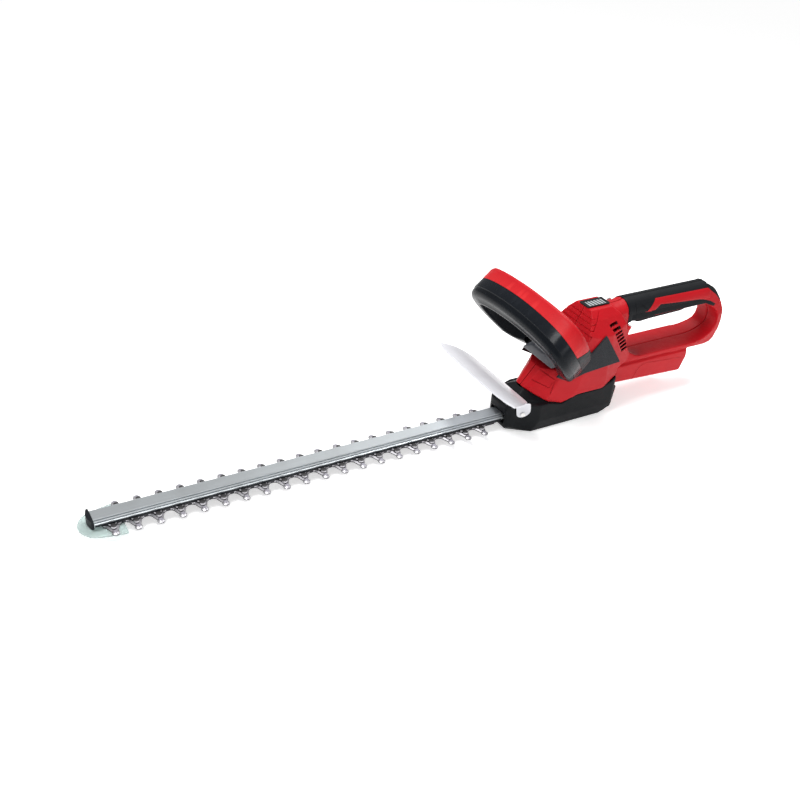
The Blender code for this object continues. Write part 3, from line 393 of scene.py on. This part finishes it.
def prism(outline, low, high, axis="Y"):
    """A closed prism over an outline, from low to high along an axis."""
    spot = {
        "X": lambda a, b, t: (t, a, b),
        "Y": lambda a, b, t: (a, t, b),
        "Z": lambda a, b, t: (a, b, t),
    }[axis]
    return lofted([[spot(a, b, t) for a, b in outline] for t in (low, high)])


def block(low, high):
    (x0, y0, z0), (x1, y1, z1) = low, high
    y0, y1 = min(y0, y1), max(y0, y1)
    return prism(((x0, y0), (x1, y0), (x1, y1), (x0, y1)), z0, z1, "Z")


def disc(x, y, radius, count):
    """The outline of a round hole or head."""
    angles = (math.tau * k / count for k in range(count))
    return [(x + radius * math.cos(a), y + radius * math.sin(a)) for a in angles]


def mirrored(point, side):
    return (point[0], point[1] * side, point[2])


def groove(start, end, width, depth, outward):
    """A bar that cuts a straight groove between two points of a surface."""
    start, end, outward = Vector(start), Vector(end), Vector(outward).normalized()
    along = (end - start).normalized()
    across = along.cross(outward).normalized() * width / 2
    proud, sunk = outward * GROOVE_CLEARANCE, outward * depth
    return lofted([
        (place + across + proud, place - across + proud,
         place - across * GROOVE_FLOOR - sunk, place + across * GROOVE_FLOOR - sunk)
        for place in (start, end)
    ])


def several(*shapes):
    """One bmesh that holds all of the shapes."""
    whole = bmesh.new()
    for bm in shapes:
        mesh = bpy.data.meshes.new("part")
        bm.to_mesh(mesh)
        bm.free()
        whole.from_mesh(mesh)
        bpy.data.meshes.remove(mesh)
    return whole


# ---------------------------------------------------------------- pieces

SMOOTHING = 0.5
CHAMFER_ANGLE = 50.0        # sharper edges than this carry a chamfer, in degrees


def loose(name, bm):
    """A loose object from a bmesh in millimetres."""
    bmesh.ops.recalc_face_normals(bm, faces=bm.faces)
    bm.transform(Matrix.Scale(MM, 4))
    mesh = bpy.data.meshes.new(name)
    bm.to_mesh(mesh)
    bm.free()
    return placed(name, mesh)


def copied(name, *sources):
    """One loose object that holds copies of some CAD nodes' meshes."""
    bm = bmesh.new()
    for node in sources:
        bm.from_mesh(nodes[node].data)
    mesh = bpy.data.meshes.new(name)
    bm.to_mesh(mesh)
    bm.free()
    return placed(name, mesh)


def twin(piece, name):
    return placed(name, piece.data.copy())


def apply_modifiers(piece):
    """Replaces a piece's mesh with its modified one."""
    graph = bpy.context.evaluated_depsgraph_get()
    mesh = bpy.data.meshes.new_from_object(piece.evaluated_get(graph))
    piece.modifiers.clear()
    old = piece.data
    piece.data = mesh
    bpy.data.meshes.remove(old)
    return piece


def rounded_off(made, voxel, rounds):
    """Evens out a mesh and rounds its edges as a moulding's are."""
    remesh = made.modifiers.new("even", "REMESH")
    remesh.mode = "VOXEL"
    remesh.voxel_size = voxel * MM
    smooth = made.modifiers.new("round", "SMOOTH")
    smooth.factor = SMOOTHING
    smooth.iterations = rounds
    return apply_modifiers(made)


def swell(piece, distance):
    """Moves a piece's surface outwards, or inwards where the distance is negative."""
    modifier = piece.modifiers.new("swell", "DISPLACE")
    modifier.strength = distance * MM
    modifier.mid_level = 0.0
    return apply_modifiers(piece)


def cut_with(piece, cutter, operation):
    """Cuts a piece with a bmesh in millimetres, for good."""
    tool = loose("cutter", cutter)
    modifier = piece.modifiers.new("carve", "BOOLEAN")
    modifier.operation = operation
    modifier.solver = "MANIFOLD"
    modifier.object = tool
    apply_modifiers(piece)
    bpy.data.objects.remove(tool, do_unlink=True)
    return piece


def carve(piece, *cutters):
    for cutter in cutters:
        cut_with(piece, cutter, "DIFFERENCE")
    return piece


def settle(made, material, body, replaced=(), sharp=38.0):
    """Gives a finished shape its material and body, and hides the CAD nodes that it stands for."""
    made.data.materials.clear()
    made.data.materials.append(material)
    made.data.shade_smooth()
    made.data.set_sharp_from_angle(angle=math.radians(sharp))
    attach(made, body)
    if replaced:
        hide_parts(*replaced)
    return made


def finish(name, bm, material, body):
    """A piece that scene.py adds, from a bmesh in millimetres."""
    return settle(loose(name, bm), material, body, sharp=40.0)


def softened(name, node, material, body, voxel, rounds):
    """A CAD node as a moulding with rounded edges."""
    made = rounded_off(copied(name, node), voxel, rounds)
    return settle(made, material, body, (node,))


def chamfered(name, node, material, edge_material, body, width):
    """A copy of a CAD node whose sharp edges carry a narrow chamfer."""
    made = copied(name, node)
    made.data.materials.append(material)
    made.data.materials.append(edge_material)
    bevel = made.modifiers.new("chamfer", "BEVEL")
    bevel.width = width * MM
    bevel.segments = 1
    bevel.limit_method = "ANGLE"
    bevel.angle_limit = math.radians(CHAMFER_ANGLE)
    bevel.material = 1
    bevel.use_clamp_overlap = True
    apply_modifiers(made)
    made.data.shade_flat()
    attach(made, body)
    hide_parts(node)
    return made


# ---------------------------------------------------------------- housing

CUT_DEPTHS = (14.0, 60.0)           # where cutters for a flank start and end, off the middle

VENTS = 8
VENT_TOP = (-56.0, 140.0)
VENT_STEP = (-4.0, -6.1)
VENT_SLOT = ((0.8, 0.9), (-12.6, 4.0), (-14.4, -0.4), (-1.2, -3.5))
VENT_FIELD = ((-50, 144), (-54, 134), (-83, 90), (-101, 94), (-101, 103), (-74, 146))
# How far the black sheet behind the vents, which is painted shade, sits under the skin.
VENT_SHADE_SUNK = 0.9

# Each groove of the nose: its start, its end and the direction out of the surface
NOSE_GROOVES = (
    ((36.6, 11.0, 82.6), (22.5, 30.5, 72.5), (0.67, 0.57, 0.47)),
    ((22.5, 30.8, 72.5), (29.0, 32.2, 53.0), (0.58, 0.76, 0.29)),
    ((47.2, 10.7, 68.6), (30.1, 29.2, 61.3), (0.65, 0.60, 0.40)),
    ((30.1, 29.2, 61.3), (25.8, 29.5, 69.0), (0.58, 0.76, 0.29)),
)
NOSE_WIDTH, NOSE_DEPTH = 1.3, 0.9
FOOT_Y = 30.0
FOOT_ARC = ((-119.2, 42.1), (-125.5, 54.0), (-129.8, 59.5), (-138.4, 62.5), (-206.2, 57.2))
FOOT_WIDTH, FOOT_DEPTH = 1.0, 0.6

# The tower's walls lean: a value, the height it holds at, and its change for each mm upwards
TOWER_FRONT_X = (-16.0, 120.0, -0.425)
TOWER_FLANK_Y = (26.4, 149.0, -0.593)
TOWER_REAR_X = (-43.6, 157.4, -0.765)
TOWER_EDGE = ((-43.6, 18.7, 157.4), (-19.5, 36.9, 125.0))
TOWER_EDGE_OUTWARD = (0, 0.93, 0.37)
TOWER_EDGE_WIDTH, TOWER_EDGE_DEPTH = 1.0, 0.7
RIB_ZS = (150.0, 143.6, 137.2, 130.8)
RIB_GAP = 1.8
RIB_FRONT_DEPTH, RIB_FLANK_DEPTH = 1.3, 1.4
RIB_OVERLAP = 0.2                   # past the middle, so that the two halves' grooves meet
RIB_FRONT_OVERHANG, RIB_OVERHANG = 6.0, 8.0     # how far the cutters stand out of the walls

HOUSING_VOXEL = 1.1


def vent_cutters(side):
    """Slots a little larger than the CAD's, so that their edges stay crisp."""
    slots = []
    for k in range(VENTS):
        x = VENT_TOP[0] + VENT_STEP[0] * k
        z = VENT_TOP[1] + VENT_STEP[1] * k
        outline = [(x + dx, z + dz) for dx, dz in VENT_SLOT]
        slots.append(prism(outline, *(depth * side for depth in CUT_DEPTHS)))
    return slots


def nose_cutters(side):
    """The recessed panel's outline on the nose, and the arc on the foot's side."""
    cuts = []
    for line in NOSE_GROOVES:
        start, end, outward = (mirrored(point, side) for point in line)
        cuts.append(groove(start, end, NOSE_WIDTH, NOSE_DEPTH, outward))
    y = FOOT_Y * side
    for (x0, z0), (x1, z1) in zip(FOOT_ARC, FOOT_ARC[1:]):
        cuts.append(groove((x0, y, z0), (x1, y, z1), FOOT_WIDTH, FOOT_DEPTH, (0, side, 0)))
    return cuts


def leaning(wall, z):
    value, height, slope = wall
    return value + (z - height) * slope


def tower_cutters(side):
    """Grooves round the tower's front and flanks, and one along its slanted edge."""
    cuts = []
    for z in RIB_ZS:
        top = z + RIB_GAP
        front, flank, rear = (leaning(w, z) for w in (TOWER_FRONT_X, TOWER_FLANK_Y, TOWER_REAR_X))
        beyond = front + RIB_OVERHANG
        cuts.append(block((front - RIB_FRONT_DEPTH, -RIB_OVERLAP * side, z),
                          (beyond, (flank + RIB_FRONT_OVERHANG) * side, top)))
        cuts.append(block((rear, (flank - RIB_FLANK_DEPTH) * side, z),
                          (beyond, (flank + RIB_OVERHANG) * side, top)))
    start, end = (mirrored(point, side) for point in TOWER_EDGE)
    cuts.append(groove(start, end, TOWER_EDGE_WIDTH, TOWER_EDGE_DEPTH, mirrored(TOWER_EDGE_OUTWARD, side)))
    return cuts


def housing_skin(side, name):
    """One half of the casing, and a black sheet just inside its vents: painted shade for the dark inside
    that shows through them.
    """
    made = rounded_off(copied(f"{name}_housing_skin", f"{name}_housing"), HOUSING_VOXEL, 4)
    # A black sheet under the vent field: painted shade seen through the vents.
    shade_sheet = twin(made, f"{name}_vent_shade_sheet")
    cut_with(shade_sheet, prism(VENT_FIELD, *(depth * side for depth in CUT_DEPTHS)), "INTERSECT")
    settle(swell(shade_sheet, -VENT_SHADE_SUNK), BLACK, "housing")
    carve(made, *vent_cutters(side), *nose_cutters(side), *tower_cutters(side))
    settle(made, RED, "housing", (f"{name}_housing",))


# ---------------------------------------------------------------- rear handle

SLEEVE = (
    (-99.9, 170), (-99.9, 116), (-112, 110), (-128, 110), (-150, 131.5), (-246, 131.5), (-262, 125),
    (-266, 128), (-276, 133), (-292, 150), (-262, 170),
)
SLEEVE_INNER_Y, HANDLE_OUTER_Y = 0.15, 40.0
SLEEVE_PROUD = 0.45
SLEEVE_SEAMS = (
    ((-112.0, 19.9, 141.0), (-112.0, 19.9, 122.0)), ((-112.0, 19.9, 141.0), (-112.0, 14.6, 154.6)),
    ((-121.0, 16.5, 152.5), (-137.0, 19.9, 139.5)), ((-137.0, 19.9, 139.5), (-144.0, 19.9, 147.0)),
)
SEAM_WIDTH, SEAM_DEPTH = 0.9, 0.7
SEAM_OUTWARD = (0, 1, 0.35)
STRIPE = (
    (-131.8, 139.1), (-149, 154.6), (-246.8, 153.5), (-264, 141.2), (-277, 127), (-271.6, 124.5),
    (-255.8, 133.9), (-230.7, 142), (-185.5, 145.2), (-155.5, 147.5), (-143, 138.5),
)
STRIPE_INNER_Y = 8.0
STRIPE_PROUD = 0.8
HANDLE_VOXEL = 1.0


def rear_handle(side, name):
    """The rubber sleeve over the handle, and the red stripe let into its side."""
    whole = rounded_off(copied(f"{name}_grip_skin", f"{name}_grip", f"{name}_housing"), HANDLE_VOXEL, 3)
    stripe = twin(whole, f"{name}_grip_stripe")
    cut_with(whole, prism(SLEEVE, SLEEVE_INNER_Y * side, HANDLE_OUTER_Y * side), "INTERSECT")
    swell(whole, SLEEVE_PROUD)
    for seam in SLEEVE_SEAMS:
        start, end = (mirrored(point, side) for point in seam)
        carve(whole, groove(start, end, SEAM_WIDTH, SEAM_DEPTH, mirrored(SEAM_OUTWARD, side)))
    settle(whole, RUBBER, "housing", (f"{name}_grip",))
    cut_with(stripe, prism(STRIPE, STRIPE_INNER_Y * side, HANDLE_OUTER_Y * side), "INTERSECT")
    settle(swell(stripe, STRIPE_PROUD), RED, "housing")


# ---------------------------------------------------------------- front loop handle

# A plane that leans forward, in which s is lateral, t runs up the lean and n is the
# distance behind the front face
LOOP_X, LOOP_Z = 22.0, 80.0
LEAN = math.radians(45.5)
LOOP_SPLIT = 26.0                   # n where the black cover meets the red frame
LOOP_DEPTH = 46.0
LOOP_CURL = 9.0                     # how far the top curls back at t = CURL_HEIGHT
CURL_HEIGHT = 100.0
FRONT_BOW, REAR_BOW = 4.0, 1.2      # how far each face's sides come forward at s = BOW_HALF
BOW_HALF = 90.0
LOOP_TAPER = 0.04                   # how much narrower the rear is than the front
LOOP_PATH = (
    (42.6, 9.5), (52, 13.5), (62, 22.5), (73, 38), (86, 60), (92, 83), (85.5, 96), (63, 102.5), (30, 105.5),
    (0, 106.5),
)
SPAN_STEPS = 10
ARM_FALL = 8.7                      # how far the cover's front falls back where an arm ends
ARM_FALL_SPANS = 2.7                # over this many spans of the path
COVER_SECTION = (
    (-13.0, 25.8), (-13.0, 5.0), (-12.4, 2.4), (-11.0, 0.8), (-8.6, 0.0), (-6.6, 0.2), (-5.8, 0.9),
    (4.0, 1.0), (7.5, 1.8), (10.2, 3.8), (11.6, 6.8), (12.0, 10.6), (12.4, 11.3), (13.0, 11.6), (13.0, 25.8),
)
FRAME_SECTION = (
    (13.0, 26.2), (13.0, 40.0), (12.5, 42.6), (11.1, 44.6), (8.6, 45.7), (6.0, 46.0), (-6.0, 46.0),
    (-8.6, 45.7), (-11.1, 44.6), (-12.5, 42.6), (-13.0, 40.0), (-13.0, 26.2),
)
COVER_HOLLOW = ((13, 30), (13, 6), (9, 3.4), (-9, 3.4), (-13, 6), (-13, 30))
FRAME_HOLLOW = ((13, 20), (13, 40), (9, 43), (-9, 43), (-13, 40), (-13, 20))
HOLLOW_WIDTH = 0.77                 # a hollow's width as a share of its section's
HOLLOW_TRIM = 4                     # rings that a hollow leaves solid at each end
ARM_END, HOLLOW_END = 42.6, 45.2
ARM_SPLIT = (62.0, 41.0)            # a point (t, n) of the joint between frame and arms
ARM_SPLIT_UP = (1.0, 0.72)          # the direction across that joint
ARM_GAP = 0.4                       # half of the joint's gap
FAR = 200.0
LOOP_SHARP = 50.0


def leaned(t, n):
    """The x and z of a point of the leaning plane."""
    x = LOOP_X + t * math.cos(LEAN) - n * math.sin(LEAN)
    z = LOOP_Z + t * math.sin(LEAN) + n * math.cos(LEAN)
    return x, z


def loop_place(s, t, n):
    """A point of the loop in space, with its bow, taper and curl."""
    rear = max(n - LOOP_SPLIT, 0.0) / (LOOP_DEPTH - LOOP_SPLIT)
    bow = FRONT_BOW - (FRONT_BOW - REAR_BOW) * rear
    s *= 1 - LOOP_TAPER * n / LOOP_DEPTH
    n += LOOP_CURL * (t / CURL_HEIGHT) ** 2 - bow * (s / BOW_HALF) ** 2
    x, z = leaned(t, n)
    return [x, s, z]


def smooth_path(points, per_span):
    """A Catmull-Rom curve through the points."""
    path = []
    padded = [points[0], *points, points[-1]]
    for a, b, c, d in zip(padded, padded[1:], padded[2:], padded[3:]):
        for k in range(per_span):
            f = k / per_span
            path.append(tuple(
                0.5 * (2 * q + (r - p) * f + (2 * p - 5 * q + 4 * r - s) * f * f
                       + (3 * q - p - 3 * r + s) * f ** 3)
                for p, q, r, s in zip(a, b, c, d)
            ))
    path.append(tuple(points[-1]))
    return path


def loop_loft(section, falls_back, limit, trim=0):
    """Sweeps a section (across, behind) round the loop; the front falls back along the arms."""
    left = list(LOOP_PATH)
    right = [(-s, t) for s, t in left[:-1]]
    path = smooth_path([*right, *left[::-1]], SPAN_STEPS)
    rings = []
    for k, here in enumerate(path):
        before, after = Vector(path[max(k - 1, 0)]), Vector(path[min(k + 1, len(path) - 1)])
        along = (after - before).normalized()
        across = Vector((-along.y, along.x))
        spans_from_end = min(k, len(path) - 1 - k) / SPAN_STEPS
        fall = ARM_FALL * max(1 - spans_from_end / ARM_FALL_SPANS, 0) if falls_back else 0.0
        ring = []
        for w, n in section:
            spot = Vector(here) + across * w
            ring.append(loop_place(spot.x, spot.y, n + fall * max(1 - n / LOOP_SPLIT, 0)))
        rings.append(ring)
    rings = rings[trim:len(rings) - trim]
    for ring in (rings[0], rings[-1]):
        for point in ring:
            point[1] = math.copysign(limit, point[1])
    return lofted(rings)


def loop_shell(name, section, hollow, falls_back):
    """A hollow moulding that follows the loop."""
    shell = loose(name, loop_loft(section, falls_back, ARM_END))
    narrowed = [(w * HOLLOW_WIDTH, n) for w, n in hollow]
    return carve(shell, loop_loft(narrowed, falls_back, HOLLOW_END, HOLLOW_TRIM))


def arm_half_space(grow):
    """Everything below the oblique joint between the red frame and its black arms."""
    dt, dn = Vector(ARM_SPLIT_UP).normalized()
    t0, n0 = ARM_SPLIT[0] + dt * grow, ARM_SPLIT[1] + dn * grow
    near = [(t0 - dn * FAR, n0 + dt * FAR), (t0 + dn * FAR, n0 - dt * FAR)]
    far = [(t - dt * FAR, n - dn * FAR) for t, n in near[::-1]]
    return prism([leaned(t, n) for t, n in near + far], -FAR, FAR)


def loop_handle():
    """The glossy cover in front, the red frame behind it and the frame's black arms."""
    cover = loop_shell("front_handle_cover_shell", COVER_SECTION, COVER_HOLLOW, True)
    settle(cover, GLOSSY, "housing", ("front_handle_cover",), LOOP_SHARP)
    red_frame = loop_shell("front_handle_frame_red", FRAME_SECTION, FRAME_HOLLOW, False)
    arms = twin(red_frame, "front_handle_arms")
    carve(red_frame, arm_half_space(ARM_GAP))
    cut_with(arms, arm_half_space(-ARM_GAP), "INTERSECT")
    settle(red_frame, RED, "housing", ("front_handle_frame",), LOOP_SHARP)
    settle(arms, BLACK, "housing", sharp=LOOP_SHARP)


# ---------------------------------------------------------------- indicator

LENS_TOP = 161.5
MARK_SUNK, MARK_PROUD, LINE_PROUD = 0.4, 0.15, 0.2
MARKS = 5
FIRST_MARK_X = -40.5
MARK_PITCH = 5.2
MARK = ((0.0, 7.0), (-1.7, 7.0), (-0.1, -5.5), (1.6, -5.5))
MARK_LINE = ((-65, -5.2), (-65, -7.6), (-37, -7.6), (-37, -5.2))


def indicator():
    """A black frame round a pale lens with five slanted bars over a line."""
    chamfered("indicator_bezel", "indicator_frame", BLACK, GLOSSY, "housing", 0.35)
    chamfered("indicator_lens", "indicator_window", WINDOW, WINDOW, "housing", 0.2)
    bottom = LENS_TOP - MARK_SUNK
    marks = []
    for k in range(MARKS):
        x = FIRST_MARK_X - MARK_PITCH * k
        marks.append(prism([(x + dx, y) for dx, y in MARK], bottom, LENS_TOP + MARK_PROUD, "Z"))
    marks.append(prism(MARK_LINE, bottom, LENS_TOP + LINE_PROUD, "Z"))
    finish("charge_bars", several(*marks), BLACK, "housing")


# ---------------------------------------------------------------- cutter

TEETH = 20
PITCH = 26.0
FIRST_LEFT, FIRST_RIGHT = 620.0, 607.0
SPINE_HALF = 12.0
TANG_HALF = 10.0
SHOULDER_X = FIRST_RIGHT - (TEETH - 1) * PITCH - 12     # where the tang widens to the spine
SHOULDER_FLARE_Y = 14.0
TIP_STEPS = 8
BLADE_NOSE = ((630, -10.0), (632.5, 0.0), (631, 8.0))
YOKE_CORNER = ((21.8, TANG_HALF), (21.8, 22), (18, 26.2))
YOKE_HOLE = ((-14.8, -14), (14.8, -14), (14.8, 14), (-14.8, 14))
YOKE_END_X = 60.0
BLADE_THICK = 2.6
LOWER_Z, UPPER_Z = 11.2, 14.1
GROUND_FROM = 1.1                   # where the ground bevel starts above the blade's underside
SLOT_HALF = 7.0
SLOT_RADIUS = 3.5
FLAT_FACE, GROUND_FACE = 0.97, 0.3  # how level a face is to be bare flat, or ground

# Each blade's reach, tip and root widths of a tooth, and the width of its ground edge
UPPER_TOOTH = (22.8, 7.4, 13.0)
LOWER_TOOTH = (31.0, 9.0, 21.0)
UPPER_GROUND, LOWER_GROUND = 0.5, 2.2

BOLT_XS = (70.0, 160.0, 290.0, 420.0, 550.0)
BOLT_HOLE = 3.3
BOLT_HOLE_ZS = (15.0, 22.4)
BAR_REAR_X, BAR_FRONT_X = 46.0, 640.0
BAR_HALF_SECTION = (
    (13.7, 17.1), (13.7, 18.6), (12.0, 18.7), (12.0, 19.3), (13.6, 19.4), (13.5, 20.3), (12.9, 20.6),
    (12.3, 20.6), (12.2, 19.6), (11.4, 19.6), (11.3, 21.7), (10.6, 22.3), (9.9, 22.3), (9.7, 21.1),
    (8.9, 21.1), (8.7, 23.5), (8.2, 24.0),
)
BAR_CHANNEL = ((9.5, 16), (9.5, 17.9), (-9.5, 17.9), (-9.5, 16))
BAR_CHANNEL_XS = (76.0, 630.0)
# A black strip under each side of the bar: painted shadow for the dark gap between the bar and the upper
# blade.
BAR_SHADOW_STRIP = ((13.72, 16.85), (14.3, 16.85), (14.3, 18.1), (14.0, 18.4), (13.72, 18.4))
BAR_SHADOW_STRIP_XS = (92.0, 639.5)


def tooth(x, side, reach, tip, base):
    """One tooth: wide at its root, waisted, with a rounded tip."""
    crown = tip * 0.55
    neck = reach - crown
    points = [(x - base / 2, SPINE_HALF), (x - base * 0.36, SHOULDER_FLARE_Y), (x - tip * 0.42, neck - 3.0)]
    for k in range(TIP_STEPS + 1):
        a = math.pi * k / TIP_STEPS
        points.append((x - tip / 2 * math.cos(a), neck + crown * math.sin(a)))
    points += [(x + tip * 0.42, neck - 3.0), (x + base * 0.36, SHOULDER_FLARE_Y), (x + base / 2, SPINE_HALF)]
    return [(px, py * side) for px, py in points]


def blade_outline(shape):
    """The yoke over the eccentric, the tang and the toothed spine, all the way round."""
    left, right = [], []
    for k in reversed(range(TEETH)):
        left += tooth(FIRST_LEFT - k * PITCH, 1, *shape)
        right += tooth(FIRST_RIGHT - k * PITCH, -1, *shape)
    left_yoke = [*YOKE_CORNER, *[(-x, y) for x, y in YOKE_CORNER[:0:-1]]]
    right_yoke = [(x, -y) for x, y in left_yoke[::-1]]
    right_shoulder = [(SHOULDER_X, -TANG_HALF), (SHOULDER_X, -SPINE_HALF)]
    left_shoulder = [(SHOULDER_X, SPINE_HALF), (SHOULDER_X, TANG_HALF)]
    return [*left_yoke, *right_yoke, *right_shoulder, *right, *BLADE_NOSE, *left[::-1], *left_shoulder]


def inset(outline, width):
    """The outline drawn in by a ground edge's width where it belongs to a tooth."""
    area = sum(a[0] * b[1] - b[0] * a[1] for a, b in zip(outline, outline[1:] + outline[:1]))
    turn = math.copysign(1.0, area)
    moved = []
    for before, here, after in zip(outline[-1:] + outline[:-1], outline, outline[1:] + outline[:1]):
        if abs(here[1]) < SPINE_HALF + 0.5 or here[0] < YOKE_END_X:
            moved.append(here)
            continue
        one = (Vector(here) - Vector(before)).normalized()
        two = (Vector(after) - Vector(here)).normalized()
        along = (one + two).normalized()
        moved.append((here[0] - along.y * width * turn, here[1] + along.x * width * turn))
    return moved


def ground_blade(name, node, low, shape, ground, steel):
    """A toothed blade whose flanks are ground back, with its yoke and stud slots cut."""
    outline = blade_outline(shape)
    levels = ((outline, low), (outline, low + GROUND_FROM), (inset(outline, ground), low + BLADE_THICK))
    made = loose(name, lofted([[(x, y, z) for x, y in ring] for ring, z in levels]))
    through = (low - 1, low + 4, "Z")
    carve(made, prism(YOKE_HOLE, *through))
    for x in BOLT_XS:
        slot = []
        for k in range(16):
            a = math.pi * (k + 0.5) / 8
            end = x + math.copysign(SLOT_HALF, math.cos(a))
            slot.append((end + SLOT_RADIUS * math.cos(a), SLOT_RADIUS * math.sin(a)))
        carve(made, prism(slot, *through))
    made.data.materials.clear()
    for material in (steel, GROUND, DARK_STEEL):
        made.data.materials.append(material)
    made.data.shade_flat()
    for face in made.data.polygons:
        up = abs(face.normal.z)
        face.material_index = 0 if up > FLAT_FACE else 1 if up > GROUND_FACE else 2
    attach(made, node)
    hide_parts(node)


def ridged_bar():
    """The extruded bar: flat top, ridged shoulders, hollow underside and bolt holes."""
    section = [*BAR_HALF_SECTION, *[(-y, z) for y, z in BAR_HALF_SECTION[::-1]]]
    made = loose("guide_bar_extrusion", prism(section, BAR_REAR_X, BAR_FRONT_X, "X"))
    carve(made, prism(BAR_CHANNEL, *BAR_CHANNEL_XS, "X"))
    for x in BOLT_XS:
        carve(made, prism(disc(x, 0.0, BOLT_HOLE, 12), *BOLT_HOLE_ZS, "Z"))
    settle(made, ALUMINIUM, "housing", ("guide_bar",), 20.0)
    # Black strips under the bar's sides: painted shadow for the gap above the upper blade.
    for side, name in SIDES:
        strip = [(y * side, z) for y, z in BAR_SHADOW_STRIP]
        finish(f"{name}_bar_shadow_strip", prism(strip, *BAR_SHADOW_STRIP_XS, "X"), BLACK, "housing")


# ---------------------------------------------------------------- gear case trim

RIM_X = 88.2
RIM_DEPTH, RIM_HALF = 9.5, 17.0
RIM_STEPS = 12
RIM_WIDTH = 1.6
RIM_ENDS_Y = 15.0                   # past this the rim's inner edge keeps the outer one's x
RIM_ZS = (41.0, 42.5)
SCREW_X = 83.5
SCREW_RADIUS = 3.1
SCREW_ZS = (41.2, 43.4)
CROSS_ZS = (42.5, 45.0)


def case_trim():
    """The raised rim of the recess on the gear case's nose, grey as a painted highlight where it catches the
    light, and the screw in it.
    """
    angles = (math.pi * k / RIM_STEPS for k in range(RIM_STEPS + 1))
    rim = [(RIM_X - RIM_DEPTH * math.sin(a), RIM_HALF * math.cos(a)) for a in angles]
    inner = [(x + (RIM_WIDTH if abs(y) < RIM_ENDS_Y else 0), y * 0.9) for x, y in rim]
    # Grey rim: painted highlight on the black case.
    finish("nose_rim", prism(rim + inner[::-1], *RIM_ZS, "Z"), GREY, "housing")
    screw = loose("nose_screw", prism(disc(SCREW_X, 0.0, SCREW_RADIUS, 18), *SCREW_ZS, "Z"))
    carve(screw, prism(((80, -0.5), (87, -0.5), (87, 0.5), (80, 0.5)), *CROSS_ZS, "Z"))
    carve(screw, prism(((83, -3.5), (84, -3.5), (84, 3.5), (83, 3.5)), *CROSS_ZS, "Z"))
    settle(screw, ZINC, "housing")


# ---------------------------------------------------------------- springs

def spring(node):
    """A spring: a zinc plated copy of its CAD node, with a mesh of its own."""
    made = copied(f"{node}_coil", node)
    settle(made, ZINC, "housing", (node,))
    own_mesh(made)


# ---------------------------------------------------------------- the whole scene

place_camera()
use_plain_colours()
light_the_scene()
lay_floor()
dress_nodes()

for sign, side_name in SIDES:
    housing_skin(sign, side_name)
    rear_handle(sign, side_name)
    softened(f"{side_name}_panel_skin", f"{side_name}_side_panel", STIPPLE, "housing",
             0.6, 3)
softened("gear_case_skin", "gear_case", BLACK, "housing", 1.1, 5)
loop_handle()
indicator()
# The lever's chamfers take the paler grey, a painted highlight on its edges.
chamfered("front_lever_moulding", "front_switch_lever", GREY, GREY_EDGE_HIGHLIGHT, "front_lever", 0.9)
softened("hand_guard_skin", "hand_guard", GUARD, "housing", 0.5, 8)
softened("trigger_skin", "trigger", BLACK, "rear_trigger", 0.7, 4)
softened("tip_guard_skin", "tip_guard", TIP, "housing", 0.5, 4)
ground_blade("upper_blade_ground", "upper_blade", UPPER_Z, UPPER_TOOTH, UPPER_GROUND, UPPER_STEEL)
ground_blade("lower_blade_ground", "lower_blade", LOWER_Z, LOWER_TOOTH, LOWER_GROUND, LOWER_STEEL)
ridged_bar()
case_trim()
spring("trigger_spring")
spring("front_lever_spring")
